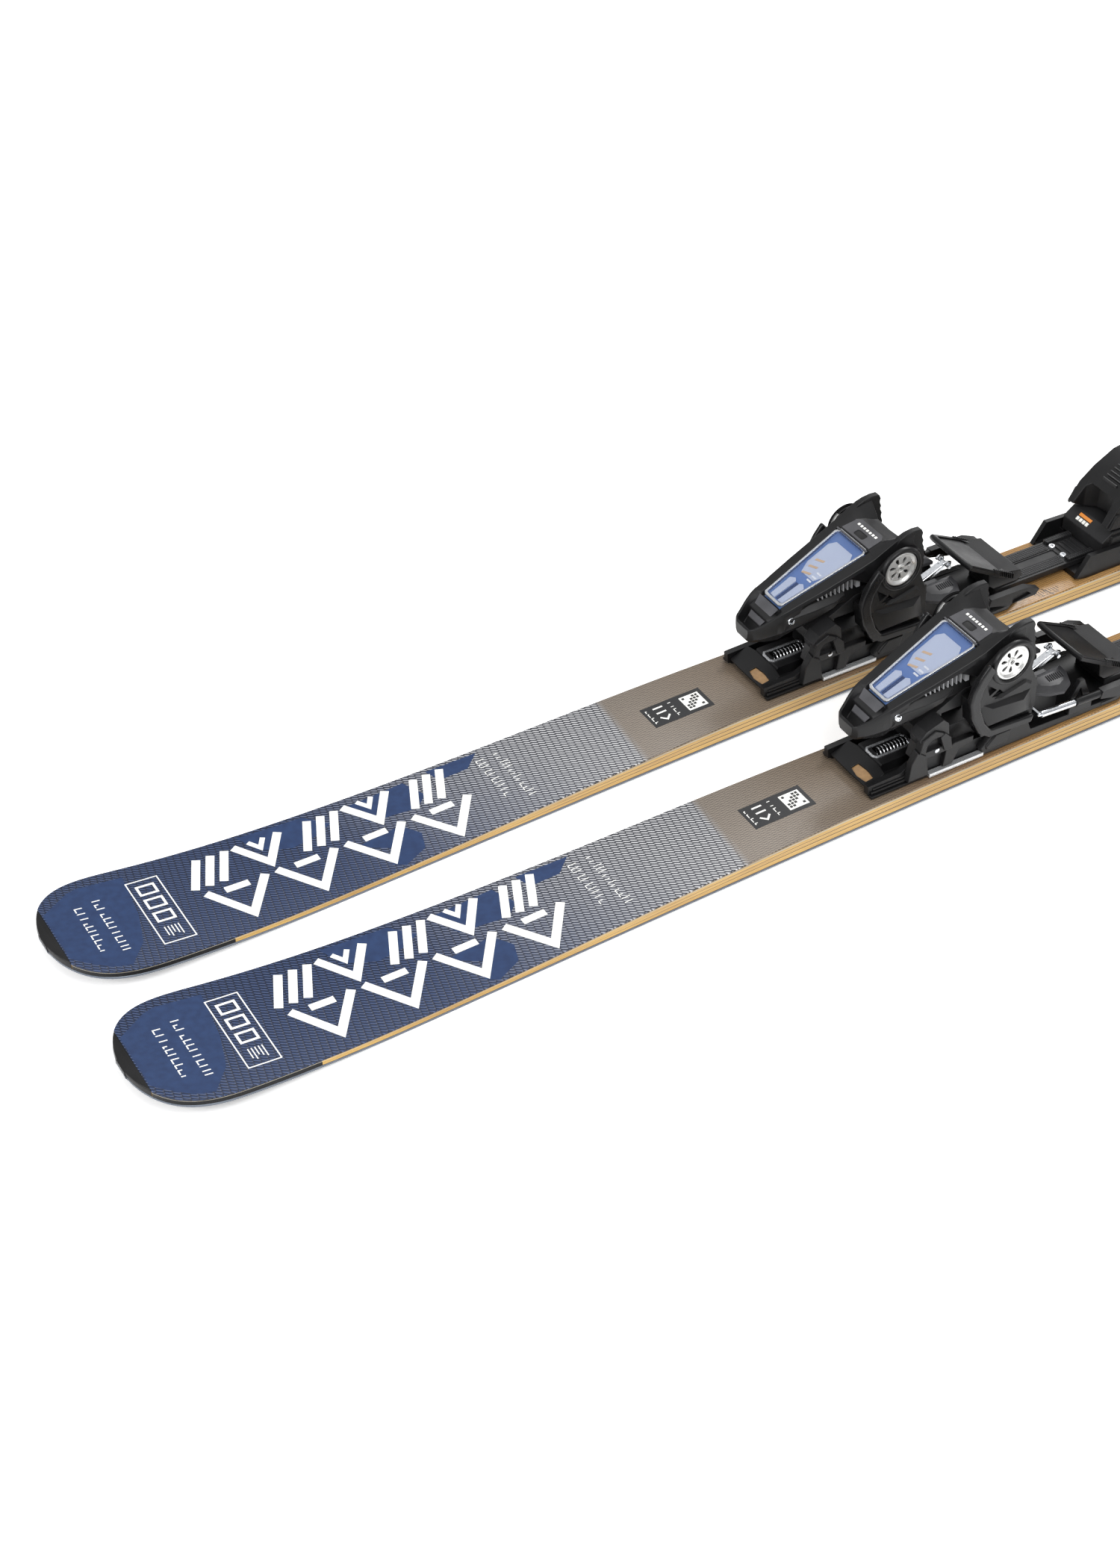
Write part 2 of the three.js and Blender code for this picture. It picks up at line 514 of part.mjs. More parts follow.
function heelBody() {
  const low = HEEL_BASE;
  const side = across([[HEEL_FRONT, low], [HEEL_FRONT, 49], [HEEL_FRONT - 12, 58], [HEEL_REAR + 62, 58],
    [HEEL_REAR + 54, 86], [HEEL_REAR + 34, 88], [HEEL_REAR + 14, 76], [HEEL_REAR, 64],
    [HEEL_REAR - 12, 52], [HEEL_REAR - 12, low]], -HEEL_HALF, HEEL_HALF);
  const guide = block(HEEL_REAR - 12, HEEL_FRONT - 32, -TRACK_HALF + 5 + GAP, TRACK_HALF - 5 - GAP,
    PLATE_TOP + GAP, low + 1);
  const bay = block(HEEL_REAR + 16, HEEL_REAR + 70, -19, 19, 60, 95);
  const rearBay = block(HEEL_REAR - 20, HEEL_REAR + 20, -10, 10, 66, 95);
  return cut(join(side, guide), bay, rearBay);
}

function heelJaw() {
  const roof = across([[HEEL_FRONT - 2, 66], [HEEL_FRONT - 14, 84], [HEEL_FRONT - 30, 97],
    [HEEL_FRONT - 52, 109], [HEEL_FRONT - 72, 112], [HEEL_FRONT - 88, 108], [HEEL_REAR + 24, 100],
    [HEEL_REAR + 26, 96], [HEEL_REAR + 56, 92.5], [HEEL_REAR + 66, 60.5],
    [HEEL_FRONT - 14, 60.5]], -HEEL_HALF, HEEL_HALF);
  const cavity = raised([[HEEL_FRONT + 2, -HEEL_CAVITY_HALF - 3], [HEEL_FRONT + 2, HEEL_CAVITY_HALF + 3],
    [HEEL_FRONT - 14, HEEL_CAVITY_HALF], [HEEL_FRONT - 24, 10], [HEEL_FRONT - 26, 0],
    [HEEL_FRONT - 24, -10], [HEEL_FRONT - 14, -HEEL_CAVITY_HALF]], 58, 87);
  const tongue = across([[HEEL_REAR + 60, 64], [HEEL_REAR + 60, 94], [HEEL_REAR + 34, 94],
    [HEEL_REAR + 32, 70], [HEEL_REAR + 38, 64]], -17, 17);
  const leverBay = across([[HEEL_FRONT - 57, 102.5], [HEEL_FRONT - 57, 120], [HEEL_REAR + 10, 120],
    [HEEL_REAR + 10, 97]], -14, 14);
  return cut(join(roof, tongue), cavity, leverBay);
}

function heelLever() {
  const arm = across([[HEEL_FRONT - 62, 105], [HEEL_FRONT - 62, 112], [HEEL_FRONT - 84, 121],
    [HEEL_REAR + 4, 127], [HEEL_REAR - 40, 129], [HEEL_REAR - 46, 124], [HEEL_REAR - 42, 119],
    [HEEL_REAR + 2, 115], [HEEL_REAR + 18, 103.5], [HEEL_REAR + 30, 101]], -13, 13);
  const grip = raised(mirrored([[HEEL_REAR - 46, 12], [HEEL_REAR - 40, 20], [HEEL_REAR - 14, 17],
    [HEEL_REAR - 2, 13]].reverse()), 117, 130).intersect(across([[HEEL_REAR - 46, 124],
    [HEEL_REAR - 42, 119], [HEEL_REAR + 2, 115], [HEEL_REAR + 4, 127], [HEEL_REAR - 40, 129]], -25, 25));
  const scoop = across([[HEEL_REAR - 34, 126], [HEEL_REAR - 10, 124], [HEEL_REAR - 10, 140],
    [HEEL_REAR - 34, 140]], -9, 9);
  return cut(join(arm, grip), scoop);
}

function heelScrew() {
  const head = bar([HEEL_REAR + 18, 0, 77], [HEEL_REAR - 1, 0, 77], 7, 14);
  const slot = block(HEEL_REAR - 2, HEEL_REAR + 1.4, -8, 8, 76.2, 77.8);
  return cut(head, slot);
}

function lengthLock() {
  const rear = HEEL_REAR - 12 - GAP;
  return across([[rear, 37], [rear, 47], [rear - 8, 50], [rear - 24, 50], [rear - 28, 46],
    [rear - 20, 43], [rear - 12, 37]], -10, 10);
}

// ---------------------------------------------------------------- assembly
const PIECES = [
  ['running_base', runningBase, BASE_BLACK],
  ['steel_edge', steelEdge, EDGE_STEEL],
  ['wood_core', woodCore, SIDEWALL],
  ['top_sheet', topSheet, BLUE_SHEET],
  ['tip_guard', tipGuard, BLACK_PLASTIC],
  ['slide_plate', slidePlate, CHROME],
  ['toe_plate', toePlate, BLACK_PLASTIC],
  ['toe_spring', toeSpring, CHROME],
  ['toe_carriage', toeCarriage, GREY_PLASTIC],
  ['toe_housing', toeHousing, BLACK_PLASTIC],
  ['indicator_lens', indicatorLens, TINTED_LENS],
  ['toe_screw', toeScrew, CHROME],
  ['toe_jaw_outer', () => toeJaw(1), BLACK_PLASTIC],
  ['toe_jaw_inner', () => toeJaw(-1), BLACK_PLASTIC],
  ['pivot_cap_outer', () => pivotCap(1), CHROME],
  ['pivot_cap_inner', () => pivotCap(-1), CHROME],
  ['sole_plate', solePlate, GREY_PLASTIC],
  ['brake_pedal', brakePedal, BLACK_PLASTIC],
  ['pedal_link', pedalLink, CHROME],
  ['brake_wire', () => brakeWire(), CHROME],
  ['brake_shoe_outer', () => brakeShoe(1), BLACK_PLASTIC],
  ['brake_shoe_inner', () => brakeShoe(-1), BLACK_PLASTIC],
  ['centre_band', centreBand, GREY_PLASTIC],
  ['heel_track', heelTrack, BLACK_PLASTIC],
  ['heel_body', heelBody, GREY_PLASTIC],
  ['heel_jaw', heelJaw, BLACK_PLASTIC],
  ['heel_lever', heelLever, BLACK_PLASTIC],
  ['heel_screw', heelScrew, CHROME],
  ['length_lock', lengthLock, GREY_PLASTIC],
];

const group = new THREE.Group();
for (const [suffix, side] of [['left', 1], ['right', -1]]) {
  const ski = new THREE.Group();
  ski.position.y = side * SKI_SPACING / 2;
  for (const [name, build, material] of PIECES) {
    const mesh = new THREE.Mesh(toGeometry(build()), material);
    mesh.name = `${name}_${suffix}`;
    ski.add(mesh);
  }
  group.add(ski);
}

export default group;
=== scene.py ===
"""A pair of alpine skis with step-in bindings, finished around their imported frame."""
import math

import bmesh
import bpy
from mathutils import Matrix, Vector


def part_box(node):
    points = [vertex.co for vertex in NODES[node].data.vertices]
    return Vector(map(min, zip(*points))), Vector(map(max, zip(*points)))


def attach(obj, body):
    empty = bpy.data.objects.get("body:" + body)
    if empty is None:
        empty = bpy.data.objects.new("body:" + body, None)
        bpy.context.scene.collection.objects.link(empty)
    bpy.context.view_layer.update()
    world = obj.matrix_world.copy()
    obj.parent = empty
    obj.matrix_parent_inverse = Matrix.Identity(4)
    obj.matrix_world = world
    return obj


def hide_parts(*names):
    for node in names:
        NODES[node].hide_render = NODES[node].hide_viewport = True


bl_info = {
    "name": "Alpine skis with bindings",
    "version": (1, 0, 0),
    "blender": (4, 5, 0),
    "location": "3D View > Sidebar > Skis",
    "description": "Finishes a pair of alpine skis around their packed frame",
    "category": "Object",
}

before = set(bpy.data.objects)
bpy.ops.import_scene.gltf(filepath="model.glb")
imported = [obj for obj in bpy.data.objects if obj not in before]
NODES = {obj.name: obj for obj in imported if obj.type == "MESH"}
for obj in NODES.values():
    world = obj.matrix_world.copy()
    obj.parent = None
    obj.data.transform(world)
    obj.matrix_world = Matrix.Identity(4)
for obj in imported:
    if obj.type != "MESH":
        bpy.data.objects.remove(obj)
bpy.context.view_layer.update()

MM = 0.001
SIDES = ("left", "right")
SKI_BODY = {"left": "root", "right": "ski_right"}


def centre_line(side):
    """Where a ski's centre line lies across the pair, in metres."""
    low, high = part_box("top_sheet_" + side)
    return (low[1] + high[1]) / 2


SKI_Y = {side: centre_line(side) for side in SIDES}

# ------------------------------------------------------------------ the ski's own shape, mm
SHEET_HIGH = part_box("top_sheet_left")[1]
EDGE_LOW, EDGE_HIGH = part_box("steel_edge_left")
TAIL_END = round(EDGE_LOW[0] / MM, 2)
TIP_END = round(EDGE_HIGH[0] / MM, 2)
GUARD_LINE = round(SHEET_HIGH[0] / MM, 2)
WAIST_HALF = 41.2
WAIST_X = -176
SIDECUT_RADIUS = 23200
TIP_START = 800
TAIL_START = -840
TIP_LIFT = 22
TAIL_LIFT = 9
CAMBER = 2.5
CONTACT_X = 640
END_THICKNESS = 7.6
MID_THICKNESS = 17.5
EDGE_WIDTH = 2.2
EDGE_HEIGHT = 2
SHEET_THICK = 1.3
DECK = CAMBER + MID_THICKNESS + 0.35


def half_width(x):
    side = WAIST_HALF + (x - WAIST_X) ** 2 / (2 * SIDECUT_RADIUS)
    tip = max(0, (x - TIP_START) / (TIP_END - TIP_START))
    tail = max(0, (TAIL_START - x) / (TAIL_START - TAIL_END))
    return side * math.sqrt(max(0.02, 1 - tip ** 3.5)) * math.sqrt(max(0.25, 1 - tail ** 4))


def base_height(x):
    beyond = max(0, abs(x) - CONTACT_X) / (TIP_END - CONTACT_X)
    lift = TIP_LIFT * beyond ** 2.3 if x > 0 else TAIL_LIFT * beyond ** 3
    span = min(1, abs(x) / CONTACT_X)
    return lift + CAMBER * (1 - span ** 2) ** 2


def thickness(x):
    reach = min(1, abs(x) / CONTACT_X)
    bulge = 1 if reach < 0.35 else 0.5 + 0.5 * math.cos(math.pi * (reach - 0.35) / 0.65)
    return END_THICKNESS + (MID_THICKNESS - END_THICKNESS) * bulge


def top_height(x):
    return base_height(x) + thickness(x)


def stations(low, high):
    """Places along the ski, in 8 mm steps and closer where the outline turns."""
    marks = [TAIL_END + t for t in (0.5, 1.2, 2.4, 4, 6.5, 10, 14, 19, 25, 32, 40, 48)]
    marks += [TAIL_START + 8 * i for i in range(206)]
    marks += [TIP_START + 8 + 4 * i for i in range(15)]
    marks += [TIP_END - t for t in (30, 27, 24, 21, 18, 15.5, 13, 11, 9, 7.2, 5.6, 4.2, 3, 2, 1.2, 0.5)]
    return [low] + [x for x in sorted(marks) if low + 0.3 < x < high - 0.3] + [high]


# ------------------------------------------------------------------ shapes
class Shape:
    """Gathers faces in millimetres in one ski's frame, then becomes a piece."""

    def __init__(self):
        self.mesh = bmesh.new()
        self.paint = 0

    def face(self, corners, paint=None):
        made = self.mesh.faces.new(corners)
        made.material_index = self.paint if paint is None else paint
        return made

    def loft(self, rings, capped=True, closed=False, paints=None):
        """Skins a row of rings; paints picks a finish from the ring and the side of the ring."""
        rows = [[self.mesh.verts.new(point) for point in ring] for ring in rings]
        pairs = list(zip(rows, rows[1:] + (rows[:1] if closed else [])))
        for row, (a, b) in enumerate(pairs):
            for i in range(len(a)):
                j = (i + 1) % len(a)
                self.face((a[i], a[j], b[j], b[i]), paints(row, i) if paints else None)
        if capped and not closed:
            self.face(rows[0][::-1])
            self.face(rows[-1])
        return self

    def prism(self, outline, axis, low, high, shrink=0.0):
        """An outline carried along an axis; shrink draws the far end in."""
        cx = sum(p[0] for p in outline) / len(outline)
        cy = sum(p[1] for p in outline) / len(outline)
        far = [(cx + (a - cx) * (1 - shrink), cy + (b - cy) * (1 - shrink)) for a, b in outline]
        place = {"x": lambda a, b, t: (t, a, b), "y": lambda a, b, t: (a, t, b),
                 "z": lambda a, b, t: (a, b, t)}[axis]
        return self.loft([[place(a, b, low) for a, b in outline], [place(a, b, high) for a, b in far]])

    def block(self, x0, x1, y0, y1, z0, z1):
        return self.prism([(x0, y0), (x1, y0), (x1, y1), (x0, y1)], "z", z0, z1)

    def tube(self, path, radius, sides=14):
        """A round bar along a path."""
        points = [Vector(p) for p in path]
        ways = [(points[min(i + 1, len(points) - 1)] - points[max(i - 1, 0)]).normalized()
                for i in range(len(points))]
        across = ways[0].orthogonal().normalized()
        rings = []
        for i, (point, way) in enumerate(zip(points, ways)):
            if i:
                across = (ways[i - 1].rotation_difference(way) @ across)
                across = (across - way * across.dot(way)).normalized()
            other = way.cross(across)
            rings.append([point + radius * (math.cos(t) * across + math.sin(t) * other)
                          for t in (2 * math.pi * k / sides for k in range(sides))])
        return self.loft(rings)

    def plate(self, outlines, axis, low, high, slope=0.0, start=0.0):
        """A sheet with holes: the first outline is its edge, the others are cut out of it."""
        flat = bmesh.new()
        for outline in outlines:
            corners = [flat.verts.new((a, b, 0)) for a, b in outline]
            for a, b in zip(corners, corners[1:] + corners[:1]):
                flat.edges.new((a, b))
        bmesh.ops.triangle_fill(flat, edges=flat.edges[:], use_beauty=True)
        made = bmesh.ops.extrude_face_region(flat, geom=flat.faces[:])
        far = {g for g in made["geom"] if isinstance(g, bmesh.types.BMVert)}

        def spot(v):
            a, b, t = v.co.x, v.co.y, high if v in far else low
            return (a, t, b) if axis == "y" else (a, b, t + slope * (a - start))

        return self.carry(flat, far, spot)

    def carry(self, flat, far, spot):
        """Takes over a thickened sheet's corners and faces, in the same order on every run."""
        def key(v):
            return round(v.co.x, 4), round(v.co.y, 4), v in far

        kept = {v: self.mesh.verts.new(spot(v)) for v in sorted(flat.verts, key=key)}
        loops = []
        for f in flat.faces:
            loop = list(f.verts)
            first = loop.index(min(loop, key=key))
            loop = loop[first:] + loop[:first]
            loops.append(loop if key(loop[1]) < key(loop[-1]) else loop[:1] + loop[:0:-1])
        for loop in sorted(loops, key=lambda loop: [key(v) for v in loop]):
            self.face([kept[v] for v in loop])
        flat.free()
        return self

    def turned(self, centre, way, profile, sides=40, closed=False):
        """A turned part: profile is (distance along the axis, radius); closed makes a ring."""
        way = Vector(way).normalized()
        across = way.orthogonal().normalized()
        other = way.cross(across)
        rings = [[Vector(centre) + way * d + r * (math.cos(t) * across + math.sin(t) * other)
                  for t in (2 * math.pi * k / sides for k in range(sides))] for d, r in profile]
        return self.loft(rings, closed=closed)

    def fit(self, name, side, finish, body, slot, *nodes, **rounding):
        """Makes the piece in one finish and places it on its body."""
        return place(self.make(name, side, [FINISHES[finish]], **rounding), body, slot, *nodes)

    def from_node(self, node):
        """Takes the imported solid's own faces, with flat faces made whole."""
        source = bmesh.new()
        source.from_mesh(NODES[node].data)
        bmesh.ops.remove_doubles(source, verts=source.verts, dist=1e-6)
        bmesh.ops.dissolve_limit(source, angle_limit=math.radians(0.6), verts=source.verts,
                                 edges=source.edges)
        shift = SKI_Y[node.rsplit("_", 1)[1]]
        kept = {v: self.mesh.verts.new((v.co.x / MM, (v.co.y - shift) / MM, v.co.z / MM))
                for v in source.verts}
        for f in source.faces:
            self.face([kept[v] for v in f.verts])
        source.free()
        return self

    def make(self, name, side, finishes, bevel=0.0, segments=2, sharp=32):
        """The finished object, in metres, with rounded edges."""
        bmesh.ops.transform(self.mesh, matrix=Matrix.Scale(MM, 4), verts=self.mesh.verts)
        bmesh.ops.recalc_face_normals(self.mesh, faces=self.mesh.faces)
        for f in self.mesh.faces:
            f.smooth = True
        for e in self.mesh.edges:
            e.smooth = len(e.link_faces) == 2 and e.calc_face_angle(0) < math.radians(sharp)
        data = bpy.data.meshes.new(name)
        self.mesh.to_mesh(data)
        self.mesh.free()
        for finish in finishes:
            data.materials.append(finish)
        piece = bpy.data.objects.new(f"{name}_{side}", data)
        bpy.context.scene.collection.objects.link(piece)
        piece.location = (0, SKI_Y[side], 0)
        if bevel:
            rounding = piece.modifiers.new("rounded edges", "BEVEL")
            rounding.width = bevel * MM
            rounding.segments = segments
            rounding.limit_method = "ANGLE"
            rounding.angle_limit = math.radians(28)
            rounding.harden_normals = True
            rounding.miter_outer = "MITER_ARC"
        return piece


def both(half):
    """A half outline, given on the left of the centre line, made whole."""
    return half + [(a, -b) for a, b in reversed(half)]


def circle(cx, cy, radius, sides=48):
    return [(cx + radius * math.cos(2 * math.pi * k / sides), cy + radius * math.sin(2 * math.pi * k / sides))
            for k in range(sides)]


def place(piece, body, slot, *nodes):
    """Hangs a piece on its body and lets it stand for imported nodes."""
    bpy.context.view_layer.update()
    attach(piece, body)
    if nodes:
        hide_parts(*nodes)
    return piece


def part(node, side, finish, slot, body, bevel=0.8, segments=2):
    """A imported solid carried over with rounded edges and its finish."""
    full = f"{node}_{side}"
    piece = Shape().from_node(full).make(node + "_body", side, [FINISHES[finish]], bevel, segments)
    return place(piece, body, slot, full)


# ------------------------------------------------------------------ finishes
def paint(code):
    """A colour from its six-figure code, made linear."""
    values = [int(code[i:i + 2], 16) / 255 for i in (0, 2, 4)]
    return tuple(v / 12.92 if v <= 0.04045 else ((v + 0.055) / 1.055) ** 2.4 for v in values) + (1.0,)


class Finish:
    """A material and a short way to add nodes to it."""

    def __init__(self, name, **sockets):
        self.material = bpy.data.materials.new(name)
        self.material.use_nodes = True
        self.tree = self.material.node_tree
        self.shader = self.tree.nodes["Principled BSDF"]
        for socket, value in sockets.items():
            self.shader.inputs[socket.replace("_", " ")].default_value = value

    def node(self, kind, inputs=None, **settings):
        made = self.tree.nodes.new("ShaderNode" + kind)
        for key, value in settings.items():
            setattr(made, key, value)
        for key, value in (inputs or {}).items():
            if isinstance(value, bpy.types.NodeSocket):
                self.tree.links.new(value, made.inputs[key])
            else:
                made.inputs[key].default_value = value
        return made

    def math(self, operation, a, b=0.0):
        return self.node("Math", {0: a, 1: b}, operation=operation).outputs[0]

    def mul(self, a, b):
        return self.math("MULTIPLY", a, b)

    def add(self, a, b):
        return self.math("ADD", a, b)

    def sub(self, a, b):
        return self.math("SUBTRACT", a, b)

    def mix(self, factor, a, b):
        return self.node("Mix", {0: factor, 6: a, 7: b}, data_type="RGBA").outputs[2]

    def ramp(self, factor, stops, smooth=False):
        made = self.node("ValToRGB", {"Fac": factor})
        band = made.color_ramp
        band.interpolation = "EASE" if smooth else "LINEAR"
        for i, (place_on, colour) in enumerate(stops):
            stop = band.elements[i] if i < 2 else band.elements.new(place_on)
            stop.position = place_on
            stop.color = colour if isinstance(colour, tuple) else (colour, colour, colour, 1)
        return made.outputs["Color"]

    def place_in(self, scale=(1, 1, 1)):
        """Object coordinates, stretched."""
        where = self.node("TexCoord").outputs["Object"]
        return self.node("Mapping", {"Vector": where, "Scale": scale}).outputs["Vector"]

    def noise(self, scale, detail=3.0, stretch=(1, 1, 1), roughness=0.5):
        return self.node("TexNoise", {"Vector": self.place_in(stretch), "Scale": scale, "Detail": detail,
                                      "Roughness": roughness}).outputs["Fac"]

    def xyz(self):
        where = self.node("TexCoord").outputs["Object"]
        return self.node("SeparateXYZ", {"Vector": where}).outputs

    def bump(self, height, strength, distance):
        made = self.node("Bump", {"Height": height, "Strength": strength, "Distance": distance})
        self.wire(made.outputs["Normal"], "Normal")

    def wire(self, output, socket):
        self.tree.links.new(output, self.shader.inputs[socket])


def moulded(name, colour, roughness, grain=2600, depth=0.00006, strength=0.35, spread=0.35):
    """Moulded plastic: fine grain, a little unevenness in colour and shine."""
    made = Finish(name, Specular_IOR_Level=0.32)
    cloud = made.noise(45, 4)
    light = tuple(min(1, c * (1 + spread)) for c in colour[:3]) + (1,)
    dark = tuple(c * (1 - spread * 0.6) for c in colour[:3]) + (1,)
    made.wire(made.ramp(cloud, [(0.3, dark), (0.72, light)]), "Base Color")
    fine = made.noise(grain, 2)
    made.wire(made.ramp(made.add(cloud, made.mul(fine, 0.4)),
                        [(0.35, roughness - 0.09), (1.0, roughness + 0.12)]), "Roughness")
    made.bump(fine, strength, depth)
    return made.material


def knurled():
    """Dark plastic pressed with small diamonds."""
    made = Finish("knurled dark grey", Specular_IOR_Level=0.35)
    x, y, _ = made.xyz()
    one = made.math("SINE", made.mul(made.add(x, y), 1250))
    two = made.math("SINE", made.mul(made.sub(x, y), 1250))
    studs = made.mul(one, two)
    # The sunken diamonds are painted darker and the raised ones lighter, following the bump: painted shade
    # and painted highlight.
    made.wire(made.ramp(studs, [(0.2, paint("161617")), (0.8, paint("343436"))]), "Base Color")
    made.wire(made.ramp(made.noise(300, 3), [(0.3, 0.36), (0.7, 0.5)]), "Roughness")
    made.bump(studs, 0.7, 0.0003)
    return made.material


def metal(name, colour, roughness, stretch=(1, 1, 1), scale=900, depth=0.00002, spread=0.12, shine=1.0):
    """Bare or plated metal with faint streaks."""
    made = Finish(name, Metallic=shine)
    streak = made.noise(scale, 3, stretch)
    light = tuple(min(1, c * (1 + spread)) for c in colour[:3]) + (1,)
    dark = tuple(c * (1 - spread) for c in colour[:3]) + (1,)
    made.wire(made.ramp(streak, [(0.3, dark), (0.7, light)]), "Base Color")
    made.wire(made.ramp(streak, [(0.25, max(0.02, roughness - 0.06)), (0.75, roughness + 0.08)]), "Roughness")
    made.bump(streak, 0.25, depth)
    return made.material


def print_ink(name, colour, roughness=0.32):
    """Screen-printed ink with a faint mottle."""
    made = Finish(name, Coat_Weight=0.25, Coat_Roughness=0.2)
    cloud = made.noise(900, 3)
    dark = tuple(c * 0.93 for c in colour[:3]) + (1,)
    made.wire(made.ramp(cloud, [(0.35, dark), (0.65, colour)]), "Base Color")
    made.wire(made.ramp(cloud, [(0.3, roughness - 0.04), (0.7, roughness + 0.06)]), "Roughness")
    made.bump(made.noise(2200, 2), 0.15, 0.00003)
    return made.material


def woven_sheet():
    """The printed top sheet: embossed blue weave, fading to silver, taupe and golden tan, with painted
    highlights and painted shade in the weave and a painted shadow on the taupe by the toe plate.
    """
    made = Finish("woven top sheet", Coat_Weight=0.12, Coat_Roughness=0.3, Specular_IOR_Level=0.45)
    x, y, _ = made.xyz()
    column = made.math("DIVIDE", made.sub(x, made.mul(y, 0.203)), 0.0062)
    across = made.math("FRACT", column)
    step = made.mul(made.math("FLOOR", column), 0.5)
    slant = made.math("DIVIDE", made.add(y, made.mul(x, 0.62)), 0.0035)
    along = made.math("FRACT", made.add(slant, step))
    edge = made.math("POWER", made.math("ABSOLUTE", made.sub(made.mul(across, 2), 1)), 5)
    swell = made.math("SINE", made.mul(along, math.pi))
    height = made.mul(swell, made.sub(1, edge))
    wander = made.noise(240, 3)
    # The blue and silver ramps paint light into each row of cells: a painted highlight near 0.68 and 0.66,
    # and painted shade darkening both ends of each cell.
    blue = made.ramp(along, [(0.0, paint("081025")), (0.2, paint("152949")), (0.52, paint("1c335c")),
                             (0.68, paint("59647f")), (0.8, paint("1a2f55")), (1.0, paint("081025"))])
    silver = made.ramp(along, [(0.0, paint("17191f")), (0.16, paint("3a3c43")), (0.4, paint("7a7b80")),
                               (0.66, paint("dedede")), (0.85, paint("77787c")), (1.0, paint("15171f"))])
    # Painted shade in the grooves between the columns of cells, mixed in along the cell edges.
    painted_groove_shade_blue = paint("081026")
    painted_groove_shade_silver = paint("1c1e29")
    blue = made.mix(made.mul(edge, 0.85), blue, painted_groove_shade_blue)
    silver = made.mix(made.mul(edge, 0.8), silver, painted_groove_shade_silver)
    spot = made.add(x, made.mul(y, 0.55))
    spot = made.add(spot, made.mul(made.sub(wander, 0.5), 0.05))
    fade = made.ramp(spot, [(0.38, 1.0), (0.66, 0.0)], smooth=True)
    weave = made.mix(fade, blue, silver)
    thread = made.math("DIVIDE", made.sub(x, made.mul(y, 0.203)), 0.0034)
    pick = made.math("DIVIDE", made.add(y, made.mul(x, 0.3)), 0.0026)
    tick = made.math("FRACT", made.add(pick, made.mul(made.math("FLOOR", thread), 0.5)))
    tick = made.add(tick, made.mul(made.sub(made.noise(900, 2), 0.5), 0.5))
    # The taupe is painted darker from 0.12 to 0.2 along the ski, beside the toe plate: a painted shadow of
    # the toe plate.
    taupe = made.ramp(x, [(0.0, paint("b48a54")), (0.05, paint("a07a4c")), (0.12, paint("80664a")),
                          (0.2, paint("7b6c5b")), (0.32, paint("857b70"))])
    dark_taupe = made.mix(0.6, taupe, paint("2c2828"))
    fine = made.mix(made.ramp(tick, [(0.22, 1.0), (0.5, 0.0)]), taupe, dark_taupe)
    line = made.sub(x, made.mul(y, 0.05))
    plain = made.ramp(line, [(0.342, 1.0), (0.348, 0.0)])
    made.wire(made.mix(plain, weave, fine), "Base Color")
    made.wire(made.ramp(made.add(wander, made.mul(height, 0.2)),
                        [(0.3, 0.5), (0.8, 0.34)]), "Roughness")
    relief = made.mix(plain, height, made.mul(tick, 0.35))
    made.bump(relief, 1.0, 0.0004)
    return made.material


def satin_blue():
    """Smooth blue panels, with the faint cross of a cloth under the lacquer."""
    made = Finish("satin blue panel", Coat_Weight=0.12, Coat_Roughness=0.35, Specular_IOR_Level=0.4)
    x, y, _ = made.xyz()
    thread = made.mul(made.math("SINE", made.mul(x, 5200)),
                       made.math("SINE", made.mul(y, 5200)))
    cloud = made.noise(160, 3)
    tone = made.add(cloud, made.mul(thread, 0.08))
    made.wire(made.ramp(tone, [(0.3, paint("152c53")), (0.7, paint("1c3660"))]), "Base Color")
    made.wire(made.ramp(cloud, [(0.3, 0.4), (0.7, 0.5)]), "Roughness")
    made.bump(thread, 0.15, 0.00004)
    return made.material


def golden_sidewall(name, light, dark, roughness):
    """Sanded golden laminate with streaks along the ski."""
    made = Finish(name, Coat_Weight=0.35, Coat_Roughness=0.22)
    streak = made.noise(26, 4, (0.35, 8, 22), 0.6)
    slow = made.noise(7, 2)
    tone = made.add(made.mul(streak, 0.6), made.mul(slow, 0.4))
    made.wire(made.ramp(tone, [(0.36, dark), (0.64, light)]), "Base Color")
    made.wire(made.ramp(streak, [(0.3, roughness), (0.7, roughness + 0.12)]), "Roughness")
    made.bump(streak, 0.12, 0.00005)
    return made.material


def clear_lens():
    """A blue-tinted window over the setting scale."""
    made = Finish("tinted lens", Roughness=0.05, IOR=1.49, Coat_Weight=1.0, Coat_Roughness=0.03)
    cloud = made.noise(60, 2)
    made.wire(made.ramp(cloud, [(0.3, paint("4b68a8")), (0.7, paint("6680b8"))]), "Base Color")
    made.shader.inputs["Alpha"].default_value = 0.16
    return made.material


FINISHES = {}


